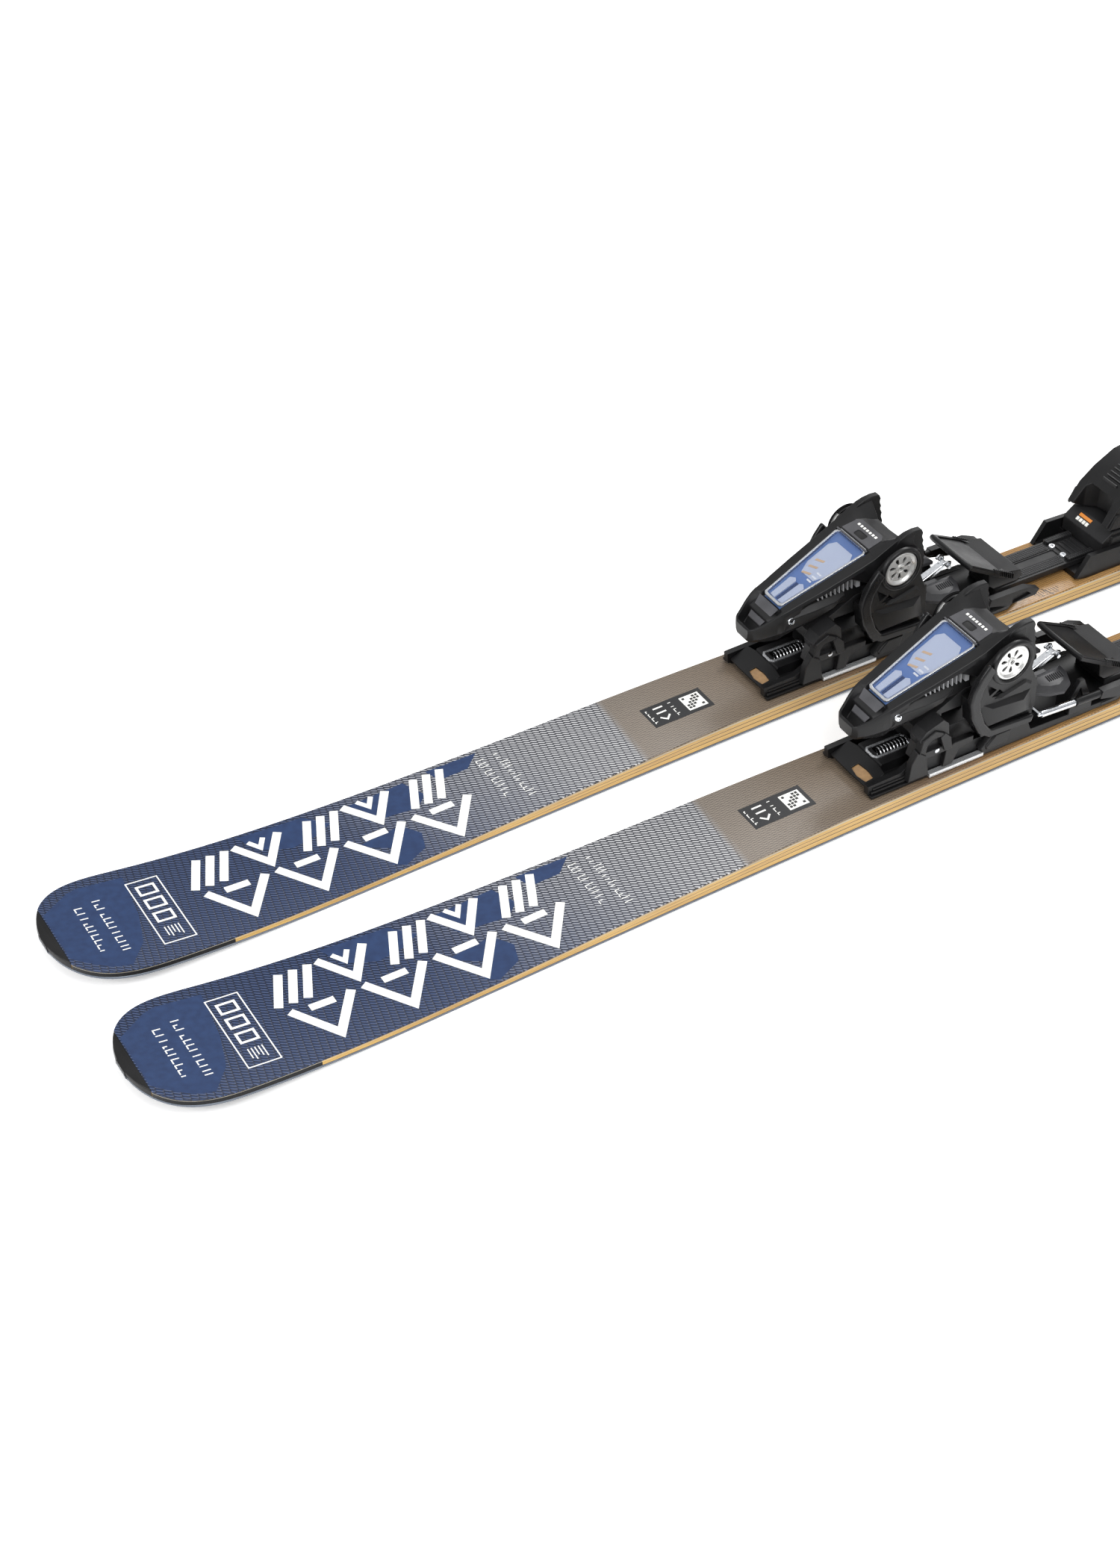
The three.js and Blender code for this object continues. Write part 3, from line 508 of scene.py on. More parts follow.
def make_finishes(look):
    """All the finishes, from the colours in the panel."""
    black = tuple(look.plastic_colour) + (1,)
    FINISHES.update({
        "black": moulded("moulded black", black, 0.38),
        "black_grained": moulded("grained black", tuple(c * 1.05 for c in black[:3]) + (1,), 0.44, 1500,
                                 0.00016, 0.8),
        "grey": moulded("moulded dark grey", tuple(look.grey_colour) + (1,), 0.42),
        "light_grey": moulded("moulded grey", paint("363638"), 0.36),
        # A near-black painted shade, put in hollows: the housing's core, the disc behind each wheel and the
        # slot between the window's panels.
        "deep": moulded("shaded black", paint("0c0c0d"), 0.6),
        "chrome": metal("bright chrome", paint("dfe2e6"), 0.17, scale=400),
        "wheel": metal("brushed wheel", paint("e6e6e4"), 0.3, scale=160, spread=0.05, shine=0.8),
        "strip": metal("bright strip", paint("e4e6e8"), 0.26, (0.3, 5, 5), 260, spread=0.06, shine=0.75),
        # A lighter copy of the black with a smoother shine: the lighter colour is a painted highlight on the
        # cheek struts.
        "black_gloss_and_highlight": moulded("smooth black with painted highlight", tuple(c * 1.3 for c in black[:3]) + (1,), 0.27),
        "satin_chrome": metal("satin chrome", paint("c8cacd"), 0.26, scale=220, spread=0.06, shine=0.85),
        "spring": metal("spring steel", paint("c9cacc"), 0.22, scale=1200),
        "steel": metal("ground steel", paint("6c727b"), 0.4, (0.2, 6, 6), 300),
        "slide_steel": metal("polished steel strip", paint("c8cacd"), 0.2, (0.3, 5, 5), 260),
        "base": moulded("running base", paint("15161a"), 0.42, 3500, 0.00002, 0.2, 0.15),
        "sheet": woven_sheet(),
        "satin": satin_blue(),
        "white": print_ink("white print", paint("f3f3ee")),
        "sticker": print_ink("dark sticker", paint("111215")),
        "orange": print_ink("orange print", paint("e08a35")),
        "gold": golden_sidewall("golden sidewall", tuple(look.sidewall_light) + (1,),
                                tuple(look.sidewall_dark) + (1,), 0.3),
        "laminate": golden_sidewall("dark laminate line", paint("4a3216"), paint("2e200f"), 0.5),
        "bead": golden_sidewall("pale sheet edge", paint("bdb5a4"), paint("8f8778"), 0.38),
        "lens": clear_lens(),
        "tray": print_ink("blue window tray", paint("5470a2"), 0.22),
        "gold_ink": print_ink("gold print", paint("d9b26a"), 0.3),
        "silver_ink": print_ink("silver print", paint("c6ccd4"), 0.22),
        "tan_sheet": golden_sidewall("golden sheet", paint("9c7b53"), paint("7f6242"), 0.4),
        "knurled": knurled(),
        "flat_grey": moulded("grained mid grey", paint("48484b"), 0.4, 1500, 0.00012, 0.6),
        "pale_grey": moulded("pale grey comb", paint("8f9092"), 0.42),
        "pad": moulded("glossy pedal black", paint("161617"), 0.34, 1300, 0.00012, 0.5),
    })


# ------------------------------------------------------------------ sizes and colours
class SkiLook(bpy.types.PropertyGroup):
    """The sizes and colours a user would change."""

    plastic_colour: bpy.props.FloatVectorProperty(
        name="Plastic", description="Black of the binding's plastic", subtype="COLOR", size=3,
        default=paint("131314")[:3], min=0, max=1)
    grey_colour: bpy.props.FloatVectorProperty(
        name="Grey plastic", description="Dark grey of the binding's second plastic", subtype="COLOR",
        size=3, default=paint("1f1f20")[:3], min=0, max=1)
    sidewall_light: bpy.props.FloatVectorProperty(
        name="Sidewall light", description="Light tone of the golden sidewall", subtype="COLOR", size=3,
        default=paint("d2ab5c")[:3], min=0, max=1)
    sidewall_dark: bpy.props.FloatVectorProperty(
        name="Sidewall dark", description="Dark tone of the golden sidewall", subtype="COLOR", size=3,
        default=paint("ab8340")[:3], min=0, max=1)
    print_lift: bpy.props.FloatProperty(
        name="Print lift", description="How far the print stands above the sheet", default=0.08 * MM,
        min=0, max=0.5 * MM, unit="LENGTH")
    floor_size: bpy.props.FloatProperty(
        name="Floor", description="Side of the floor", default=14.0, min=2, max=40, unit="LENGTH")


# ------------------------------------------------------------------ ski pieces
def strip_ring(x, low, high, foot, head, round_off):
    """One cross-section of a ski layer, with its two top edges rounded."""
    r = min(round_off, (high - low) * 0.45)
    return [(x, -foot, low), (x, foot, low), (x, head, high - r), (x, head - 0.3 * r, high - 0.3 * r),
            (x, head - r, high), (x, -head + r, high), (x, -head + 0.3 * r, high - 0.3 * r),
            (x, -head, high - r)]


def sheet_half(x):
    return max(4, half_width(x) - 0.9)


class SKI_OT_top_sheet(bpy.types.Operator):
    """Makes the woven top sheet of each ski"""

    bl_idname = "ski.top_sheet"
    bl_label = "Top sheet"

    def execute(self, context):
        for side in SIDES:
            rings = [strip_ring(x, top_height(x) - SHEET_THICK, top_height(x), sheet_half(x),
                                sheet_half(x) - 0.1, 0.7) for x in stations(TAIL_END, GUARD_LINE)]
            piece = Shape().loft(rings).make("woven_sheet", side, [FINISHES["sheet"]], sharp=50)
            place(piece, SKI_BODY[side], "top_sheet", f"top_sheet_{side}")
        return {"FINISHED"}


class SKI_OT_sidewall(bpy.types.Operator):
    """Makes the laminated core with its golden sidewall"""

    bl_idname = "ski.sidewall"
    bl_label = "Sidewall"

    bands = ((0.0, 0), (0.3, 1), (0.37, 0), (0.6, 1), (0.66, 0), (0.9, 2), (1.0, 2))

    gold_end = 753

    def execute(self, context):
        for side in SIDES:
            marks = stations(TAIL_END, GUARD_LINE)
            marks = sorted(set(marks + [self.gold_end, self.gold_end + 0.2]))
            rings = []
            for x in marks:
                low = base_height(x) + EDGE_HEIGHT + 0.2
                high = top_height(x) - SHEET_THICK - 0.2
                foot, head = half_width(x) - 0.35, sheet_half(x) + 0.25
                edge = []
                for f, kind in self.bands:
                    inset = 0.25 if kind == 1 else 0.0
                    edge.append((foot + (head - foot) * f - inset, low + (high - low) * f))
                rings.append([(x, y, z) for y, z in edge] + [(x, -y, z) for y, z in reversed(edge)])
            kinds = [kind for _, kind in self.bands[:-1]]
            kinds = kinds + [0] + kinds[::-1] + [0]

            def choose(row, i, marks=marks, kinds=kinds):
                kind = kinds[i]
                return 3 if marks[row] >= self.gold_end and kind != 2 else kind

            shape = Shape().loft(rings, paints=choose)
            finishes = [FINISHES[k] for k in ("gold", "laminate", "bead", "black")]
            place(shape.make("laminated_core", side, finishes, sharp=40), SKI_BODY[side], "sidewall",
                  f"wood_core_{side}")
        return {"FINISHED"}


class SKI_OT_edge_and_base(bpy.types.Operator):
    """Makes the steel edge all round and the running base inside it"""

    bl_idname = "ski.edge_and_base"
    bl_label = "Steel edge and base"

    def execute(self, context):
        for side in SIDES:
            marks = stations(TAIL_END, TIP_END)
            inner = stations(TAIL_END + EDGE_WIDTH, TIP_END - EDGE_WIDTH)
            loop = [(x, 1) for x in marks] + [(x, -1) for x in reversed(marks)]
            rings = []
            for x, hand in loop:
                low, high = base_height(x), base_height(x) + EDGE_HEIGHT
                near = min(max(x, inner[0]), inner[-1])
                out, back = half_width(x), half_width(near) - EDGE_WIDTH
                rings.append([(x, hand * out, low), (x, hand * out, high - 0.25),
                              (x, hand * (out - 0.25), high), (near, hand * back, high),
                              (near, hand * back, low)])
            shape = Shape().loft(rings, closed=True)
            shape.fit("edge_steel", side, "steel", SKI_BODY[side], "edge_steel", f"steel_edge_{side}",
                      sharp=40)
            rings = []
            for x in inner:
                half = half_width(x) - EDGE_WIDTH - 0.1
                low, high = base_height(x) + 0.05, base_height(x) + EDGE_HEIGHT
                rings.append([(x, -half, low), (x, half, low), (x, half, high), (x, -half, high)])
            place(Shape().loft(rings).make("sole_base", side, [FINISHES["base"]], sharp=40),
                  SKI_BODY[side], "base_black", f"running_base_{side}")
        return {"FINISHED"}


class SKI_OT_tip_guard(bpy.types.Operator):
    """Makes the black plastic guard round the tip"""

    bl_idname = "ski.tip_guard"
    bl_label = "Tip guard"

    def execute(self, context):
        for side in SIDES:
            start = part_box(f"tip_guard_{side}")[0][0] / MM
            rings = []
            for x in stations(start, TIP_END):
                drop = 2.6 * ((x - start) / (TIP_END - start)) ** 2
                low, high = base_height(x) + EDGE_HEIGHT + 0.15, top_height(x) + 0.25 - drop
                rings.append(strip_ring(x, low, high, half_width(x) - 0.2, max(3, half_width(x) - 1.0), 1.6))
            piece = Shape().loft(rings).make("tip_cap", side, [FINISHES["black_grained"]], sharp=45)
            place(piece, SKI_BODY[side], "black_plastic", f"tip_guard_{side}")
        return {"FINISHED"}


def printed(outlines, lift, depth=0.16):
    """Flat prints laid on the top sheet, cut where the sheet's own rows are so that they lie on it."""
    shape = Shape()
    for outline in outlines:
        flat = bmesh.new()
        flat.faces.new([flat.verts.new((x, y, 0)) for x, y in outline])
        xs = [x for x, _ in outline]
        for mark in stations(TAIL_END, GUARD_LINE):
            if min(xs) < mark < max(xs):
                bmesh.ops.bisect_plane(flat, geom=flat.verts[:] + flat.edges[:] + flat.faces[:],
                                       plane_co=(mark, 0, 0), plane_no=(1, 0, 0), dist=1e-4)
        made = bmesh.ops.extrude_face_region(flat, geom=flat.faces[:])
        up = {g for g in made["geom"] if isinstance(g, bmesh.types.BMVert)}

        def spot(v, up=up):
            return v.co.x, v.co.y, top_height(v.co.x) + (lift if v in up else lift - depth)

        shape.carry(flat, up, spot)
    return shape


def stroke(points, width):
    """A broad line through points, as one outline with mitred corners."""
    path = [Vector(p) for p in points]
    left, right = [], []
    for i, p in enumerate(path):
        before = (p - path[i - 1]).normalized() if i else None
        after = (path[i + 1] - p).normalized() if i < len(path) - 1 else None
        way = ((before or after) + (after or before)).normalized()
        normal = Vector((-way.y, way.x))
        spread = width / 2 / max(0.35, normal.dot(Vector((-(after or before).y, (after or before).x))))
        left.append(tuple(p + normal * spread))
        right.append(tuple(p - normal * spread))
    return left + right[::-1]


def frame_of(x0, x1, y0, y1, width):
    """Four bars round a rectangle."""
    return [[(x0, y0), (x1, y0), (x1, y0 + width), (x0, y0 + width)],
            [(x0, y1 - width), (x1, y1 - width), (x1, y1), (x0, y1)],
            [(x0, y0 + width), (x0 + width, y0 + width), (x0 + width, y1 - width), (x0, y1 - width)],
            [(x1 - width, y0 + width), (x1, y0 + width), (x1, y1 - width), (x1 - width, y1 - width)]]


def dashes(x, y0, y1, height, seed, width=1.0):
    """A row of thin marks of uneven length across the ski."""
    rows, y, n = [], y0, seed
    while y < y1:
        n = (n * 37 + 11) % 101
        long = 2.2 + 3.4 * (n / 101)
        top = height * (1.0 if n % 3 else 0.55)
        rows.append([(x, y), (x, y + width), (x - top, y + width), (x - top, y)])
        if n % 2:
            rows.append([(x, y + width + 0.01), (x, min(y + long, y1)), (x - width, min(y + long, y1)),
                         (x - width, y + width + 0.01)])
        y += long + 1.6
    return rows


class SKI_OT_print(bpy.types.Operator):
    """Makes the printed panels and marks on the top sheet"""

    bl_idname = "ski.print"
    bl_label = "Print"

    def execute(self, context):
        lift = context.scene.ski_look.print_lift / MM
        satin = [
            [(874, -34), (856, -47), (846, -50.5), (806, -49.5), (812, 0), (822, 33), (840, 55), (852, 53),
             (862, 48), (880, 34), (883.5, 30), (883.5, -27)],
            [(700, -53), (640, -49.5), (622, -30), (636, -22), (664, -18), (690, -30)],
            [(616, 9), (572, 4), (560, 22), (566, 40), (590, 51), (600, 44), (590, 26)],
            [(604, -42), (544, -44), (534, -20), (548, -8), (592, -14)],
            [(520, -46.5), (470, -44.5), (486, -30), (514, -30)],
        ]
        white = []
        for i in range(5):
            x = 760 - 52 * i
            if i % 2:
                white.append(stroke([(x, -43), (x - 21, -11), (x - 42, -43)], 7.6))
                white.append(stroke([(x - 14, -43), (x - 21, -32), (x - 28, -43)], 4.6))
            else:
                white.append(stroke([(x - 2, -8), (x - 18, -43)], 7.4))
                white.append(stroke([(x - 15, -8), (x - 31, -43)], 7.4))
                white.append(stroke([(x - 28, -8), (x - 44, -43)], 7.4))
        for i in range(4):
            x = 752 - 65 * i
            white.append(stroke([(x, 0), (x - 26, 39), (x - 54, 0)], 7.8))
            white.append(stroke([(x - 16, 3), (x - 38, 3)], 7.2))
        white += frame_of(779, 808, -40, 43, 1.1)
        for k, y in enumerate((-33, -15, 3)):
            white += frame_of(785, 802, y, y + 13, 2.2)
        for k in range(5):
            white.append([(787 + 3 * k, 23), (788 + 3 * k, 23), (788 + 3 * k, 36 - 2 * (k % 3)),
                          (787 + 3 * k, 36 - 2 * (k % 3))])
        white += dashes(858, -26, 30, 7.0, 5, 1.1)
        white += dashes(841, -30, 40, 7.0, 17, 1.1)
        white += dashes(476, -34, 22, 8.0, 9, 0.7)
        white += dashes(458, -34, 30, 8.0, 23, 0.7)
        card = [(254, -14.4), (317, -14.4), (317, 14.4), (254, 14.4)]
        marks = [[(258, -10), (278, -10), (278, 10), (258, 10)], stroke([(306, -9), (296, -9)], 1.8),
                 stroke([(306, -2), (296, -2)], 1.8), stroke([(306, 4), (301, 9), (296, 4)], 1.8)]
        marks += dashes(314, -10, 10, 3, 3, 0.8) + dashes(290, -10, 10, 3, 7, 0.8)
        cells = [[(260 + 3.4 * i, -8.4 + 3.4 * j), (262.6 + 3.4 * i, -8.4 + 3.4 * j),
                  (262.6 + 3.4 * i, -5.8 + 3.4 * j), (260 + 3.4 * i, -5.8 + 3.4 * j)]
                 for i in range(5) for j in range(5) if (3 * i + 2 * j) % 5 not in (1, 4)]
        script = [stroke([(-100 - 3 * k, 30), (-101 - 3 * k, 34 + 2 * (k % 3))], 0.7) for k in range(10)]
        script += [stroke([(-112, 27), (-118, 40)], 0.8), stroke([(-104, 37), (-124, 37.6)], 0.5)]
        prints = (("satin_panels", satin, "satin", 0.6), ("white_marks", white, "white", 1.6),
                  ("round_card", [card], "sticker", 1), ("card_cells", cells, "sticker", 3),
                  ("card_marks", marks, "white", 2), ("dark_marks", script, "sticker", 1))
        for side in SIDES:
            for name, outlines, finish, rise in prints:
                printed(outlines, lift * rise).fit(name, side, finish, SKI_BODY[side], "top_sheet", sharp=40)
        return {"FINISHED"}


# ------------------------------------------------------------------ binding pieces
class SKI_OT_plates(bpy.types.Operator):
    """Makes the toe plate, its steel strip, the spring, the centre band and the heel track"""

    bl_idname = "ski.plates"
    bl_label = "Plates, band and track"

    def execute(self, context):
        for side in SIDES:
            body = SKI_BODY[side]
            part("toe_plate", side, "black", "black_plastic", body, 0.9)
            part("slide_plate", side, "slide_steel", "polished_steel", body, 0.4)
            strips, rails = Shape(), Shape()
            for hand in (1, -1):
                strips.block(92, 151.5, hand * 33.4, hand * 39, 21.2, 25.4)
                rails.block(151.8, 212, hand * 32, hand * 36.4, 20.8, 23.6)
                rails.block(168, 211, hand * 32, hand * 34.6, 24.6, 27)
                rails.block(170, 209, hand * 32, hand * 33.8, 28, 30)
                rails.prism([(93, 21.4), (97, 30), (84, 44.6), (46, 44.6), (40, 30), (-60, 27), (-66,
                            21.4)], "y",
                            hand * 32, hand * 38.4, 0.03)
                rails.prism([(91, 27), (92, 31), (81, 42), (62, 42), (66, 27)], "y", hand * 37, hand * 40,
                            0.14)
                rails.plate([[(-1, 30), (-1, 50), (-9, 66), (-14, 66), (-27, 36), (-27, 30)],
                             [(-6, 38), (-6.4, 49), (-11, 58), (-19, 38)]], "y", hand * 36, hand * 41)
            strips.fit("side_strips", side, "strip", body, "polished_steel", bevel=0.5)
            rails.fit("plate_rails", side, "black", body, "black_plastic", bevel=0.7)
            ring = Shape().plate([both([(190, 5), (187, 8.6), (150, 8.6), (147, 5)]),
                                  both([(187.6, 4), (185.8, 6.4), (151, 6.4), (149.6, 4)])], "z", 36.4, 38.2)
            ring.fit("spring_frame", side, "satin_chrome", body, "chrome", bevel=0.5)
            part("centre_band", side, "grey", "grey_plastic", body, 0.7)
            pads = Shape()
            pads.block(-146, -92, 6.4, 17.5, 32.4, 33.8)
            pads.block(-146, -92, -17.5, -6.4, 32.4, 33.8)
            pads.prism([(-66, 33), (-70, 36), (-88, 36), (-92, 33)], "y", -17, 17)
            for hand in (1, -1):
                pads.block(-182, -150, hand * 13, hand * 19.5, 32.6, 36.4)
            pads.fit("band_pads", side, "knurled", body, "grey_plastic", bevel=0.5)
            bolts = Shape()
            for hand in (1, -1):
                bolts.turned((-152, hand * 8.4, 33), (0, 0, 1), [(0, 3.4), (1.6, 3.4), (2.2, 2.9), (2.2,
                             1.6), (1, 1.4)],
                             28)
            bolts.fit("band_bolts", side, "satin_chrome", body, "chrome", bevel=0.1)
            lip = Shape().plate([both([(211, 8), (210.5, 26.4), (192, 26.4), (190, 16)]),
                                 [(207, -1), (209, 10), (207.6, 21), (200.6, 22.4), (199.4, 12), (200.4, 0)]],
                                "z", 25.4, 27.2, LIP_SLOPE, LIP_FRONT)
            lip.fit("front_lip", side, "black", body, "black_plastic", bevel=0.5)
            insert = Shape().plate([[(209.5, -3), (209.5, 24), (198, 24), (198, -3)]], "z", 24.6, 25.4,
                                   LIP_SLOPE, LIP_FRONT)
            insert.fit("front_insert", side, "tan_sheet", body, "top_sheet")
            part("heel_track", side, "black", "black_plastic", body, 0.9)
            low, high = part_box(f"toe_spring_{side}")
            radius = (high[2] - low[2]) / 2 / MM - 0.75
            middle = (high[2] + low[2]) / 2 / MM
            start, end = low[0] / MM + SPRING_WIRE, high[0] / MM - SPRING_WIRE
            path = [(end - (end - start) * t / (SPRING_TURNS * SPRING_STEPS),
                    radius * math.cos(2 * math.pi * t / SPRING_STEPS),
                     middle + radius * math.sin(2 * math.pi * t / SPRING_STEPS))
                    for t in range(SPRING_TURNS * SPRING_STEPS + 1)]
            spring = Shape().tube(path, SPRING_WIRE, 10).make("coil_spring", side, [FINISHES["spring"]],
                                                              sharp=60)
            place(spring, body, "spring_steel", f"toe_spring_{side}")
        return {"FINISHED"}


# Half sections of the toe housing from the nose back, mm: place along the ski, then bottom, flank, shoulder,
# rim, inner edge and wall as (across, up), then the height at the centre.
HOUSING = (
    (219, (7, 74), (9, 77), (10, 83), (9, 85.5), (7, 85.5), (5, 85.2), 85.2),
    (217, (9, 72), (12, 76.5), (13, 84), (12, 87), (9.5, 87), (7, 86.8), 86.8),
    (215.5, (10, 71.5), (14, 76.5), (15, 85), (14, 88), (11.6, 87.8), (9.5, 79.5), 79),
    (209, (12, 71), (17.2, 77), (18.2, 88), (17, 91.4), (14.6, 91.2), (11, 78), 77.5),
    (203, (14, 70.3), (20.2, 79), (21, 92), (19.6, 95.4), (17.4, 95.2), (13, 83), 83),
    (196, (16, 70), (22.6, 81), (23.2, 96.2), (21.8, 99.8), (19.6, 99.6), (14, 91.6), 91.6),
    (190.4, (17, 70), (24, 83), (24.6, 99), (23, 102.4), (20.4, 102.2), (15, 100), 100),
    (188.2, (17, 70.5), (24.2, 84), (24.8, 99.8), (23.2, 102.9), (14.8, 103), (13.2, 98.4), 98.4),
    (177, (18, 76), (24.8, 90), (25.8, 103.6), (24.4, 107), (15.8, 107.6), (14.4, 102.8), 102.8),
    (172, (20, 104), (25.9, 104.6), (26.7, 106.2), (25.2, 109), (16.3, 109.5), (14.9, 104.8), 104.8),
    (150, (22, 112), (28.8, 112.4), (29.8, 114), (28.4, 117), (18.6, 118.2), (17.2, 113.4), 113.4),
    (125, (26, 121), (31.6, 121.4), (32.8, 123), (31.2, 126.4), (21.2, 128), (19.8, 123.2), 123.2),
    (112, (28, 112), (33.4, 116), (34, 127.5), (32.6, 131.4), (22.6, 133.1), (21.2, 128.3), 128.3),
    (101, (30, 107), (34.6, 110), (35, 131), (33.6, 136), (23.7, 137.4), (22.3, 132.6), 132.6),
    (100, (30, 107), (34.6, 110), (35, 131.5), (33.6, 136.6), (23.8, 137.9), (21, 137.8), 137.8),
    (84, (31, 109), (35.2, 112), (35.5, 138), (34.2, 145.4), (27, 144), (20, 141.6), 141.2),
    (74, (31, 111), (35.4, 114), (35.6, 143), (34.4, 150.6), (28.8, 147), (19, 139.6), 138.6),
    (66, (31, 112.5), (35.4, 115), (35.6, 146), (34.4, 152.2), (29, 148.6), (18, 136.5), 135),
    (60, (31, 113), (35.4, 116), (35.6, 148), (34.4, 152.8), (29, 149), (17, 135), 134),
)
# Outline of one fin, as (along, up).
FIN = ((88, 134), (76, 148.6), (68, 151.9), (60, 152.9), (52, 152.3), (49.4, 147), (50.2, 143.6), (48, 138.8),
       (48.9, 135.4), (46.4, 130.6), (47.2, 127), (45, 121.4), (48, 114), (60, 110), (84, 106))
# Half sections of the hull under the housing: bottom, flank, edge and top, then the centre's height.
HULL = (
    (202, (14, 70), (20, 78), (20.4, 90), (13, 94), 94),
    (183, (17, 72), (24, 82), (26, 95), (21, 99.5), 99.5),
    (160, (19, 79), (28.4, 88), (30.5, 99), (25, 104), 104),
    (140, (20, 88), (30.4, 95), (32.4, 102.5), (26.5, 107), 107),
    (128, (18, 94), (27, 99), (29.5, 104.5), (24, 108), 108),
)
# Half outline of the window's cover, then how its plane slopes and where it starts.
LENS = ((187, 9.5), (185.5, 12.4), (105, 21.3), (101.3, 18.5))
LENS_SLOPE = -0.395
LENS_START = (187, 103)
LIP_SLOPE, LIP_FRONT = -0.42, 211
FLAT_SLOPE, FLAT_FRONT = -0.215, 99
PEDAL_SLOPE, PEDAL_REAR = 0.528, -68
HEEL_SLOPE, HEEL_FRONT = -0.75, -181
BRAKE_HALF = 46
SPRING_TURNS, SPRING_STEPS, SPRING_WIRE = 9, 18, 0.8


def toe_jaw(hand, name, side):
    """A side cheek of the toe piece with its strut, its wheel and the ring round the wheel."""
    jaw = f"toe_jaw_{name}_{side}"
    low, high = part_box(f"pivot_cap_{name}_{side}")
    x, z = (low[0] + high[0]) / 2 / MM, (low[2] + high[2]) / 2 / MM
    radius = (high[0] - low[0]) / 2 / MM
    crest = [(102, 124), (88, 136), (72, 141)] if hand > 0 else [(100, 116), (90, 128), (76, 138)]
    edge = [(117, 92), (114, 108), *crest, (58, 137), (52, 124), (54, 108), (48, 94), (44, 84), (114, 84)]
    foot = [(116, 92), (112, 66), (102, 54), (100, 47.5), (46, 47.5), (42, 62), (44, 92)]
    wide, deep = (4.6, 3.9) if hand > 0 else (1.4, 1.6)
    cheek = Shape().plate([edge], "y", hand * 36, hand * 39.4)
    cheek.plate([edge, circle(x, z, radius + 0.3), [(103, 108), (98.5, 94), (91, 98)],
                 [(96, 91.5), (80, 88.5), (88, 97.4)]], "y", hand * 39.4, hand * 43)
    cheek.plate([foot], "y", hand * 27.2, hand * 41)
    cheek.prism([(109, 88), (50, 82), (45, 58), (104, 57)], "y", hand * 41, hand * 46.4, 0.42)
    cheek.prism([(96, 88), (58, 98), (50, 92), (62, 84)], "y", hand * 42, hand * 45.4, 0.3)
    cheek.plate([[(64, 80), (52, 80), (50, 92), (64, 98)]], "y", hand * 18, hand * 37)
    cheek.fit(f"cheek_{name}", side, "black", jaw, "black_plastic", f"toe_jaw_{name}_{side}", bevel=0.9,
              segments=3)
    # The strut's black is painted lighter as a painted highlight, with a smoother shine than the cheek.
    strut = Shape().plate([[(104, 131), (112, 120), (119, 106), (121, 94), (117, 76), (107, 57), (95, 49),
                          (47, 47),
                            (45, 54), (94, 57), (102, 68), (108, 84), (110, 95), (107.5, 107), (97, 123)]],
                          "y", hand * 41, hand * 46.4)
    strut.fit(f"cheek_strut_{name}", side, "black_gloss_and_highlight", jaw, "black_plastic", bevel=2.2, segments=4)
    ring = Shape().turned((x, hand * 42, z), (0, hand, 0), [
        (0, radius + 0.4), (0, radius + wide), (deep * 0.55, radius + wide - 0.2), (deep * 0.9,
                                                                                    radius + wide - 1.1),
        (deep, radius + 1.8), (deep * 0.87, radius + 0.9), (deep * 0.55, radius + 0.4)], 72, closed=True)
    ring.fit(f"wheel_surround_{name}", side, "black", jaw, "black_plastic", sharp=50)
    rim = Shape().turned((x, hand * 39.8, z), (0, hand, 0), [
        (0, radius - 0.1), (0, radius - 4.6), (2.6, radius - 4.4), (3.2, radius - 3.6), (4.1, radius - 3.0),
        (4.6, radius - 2.2), (4.6, radius - 1.2), (4.1, radius - 0.4), (3, radius - 0.1)], 72, closed=True)
    windows = []
    for k in range(7):
        turn = 2 * math.pi * (k + 0.25) / 7
        drop = [(4.6, 0.0), (6.4, 1.0), (9.2, 1.7), (10.8, 1.5), (11.6, 0.6), (11.6, -0.6), (10.8, -1.5),
                (9.2, -1.7), (6.4, -1.0)]
        windows.append([(x + r * math.cos(turn) - w * math.sin(turn),
                       z + r * math.sin(turn) + w * math.cos(turn))
                        for r, w in drop])
    rim.plate([circle(x, z, radius - 4.2)] + windows + [circle(x, z, 1.9, 16)], "y", hand * 40.6, hand * 42.2)
    rim.turned((x, hand * 41.8, z), (0, hand, 0), [(0, 2.1), (0, 4.4), (1.4, 4.1), (1.9, 3.2), (1.6, 2.2)],
               32,
               closed=True)
    rim.fit(f"pivot_wheel_{name}", side, "wheel", jaw, "chrome", f"pivot_cap_{name}_{side}", bevel=0.2,
            sharp=40)
    # A dark disc behind the wheel's windows: painted shade seen through them.
    well = Shape().turned((x, hand * 39.6, z), (0, hand, 0), [(0, radius - 4.4), (0.7, radius - 4.4)], 48)
    well.fit(f"wheel_well_{name}", side, "deep", jaw, "black_plastic")


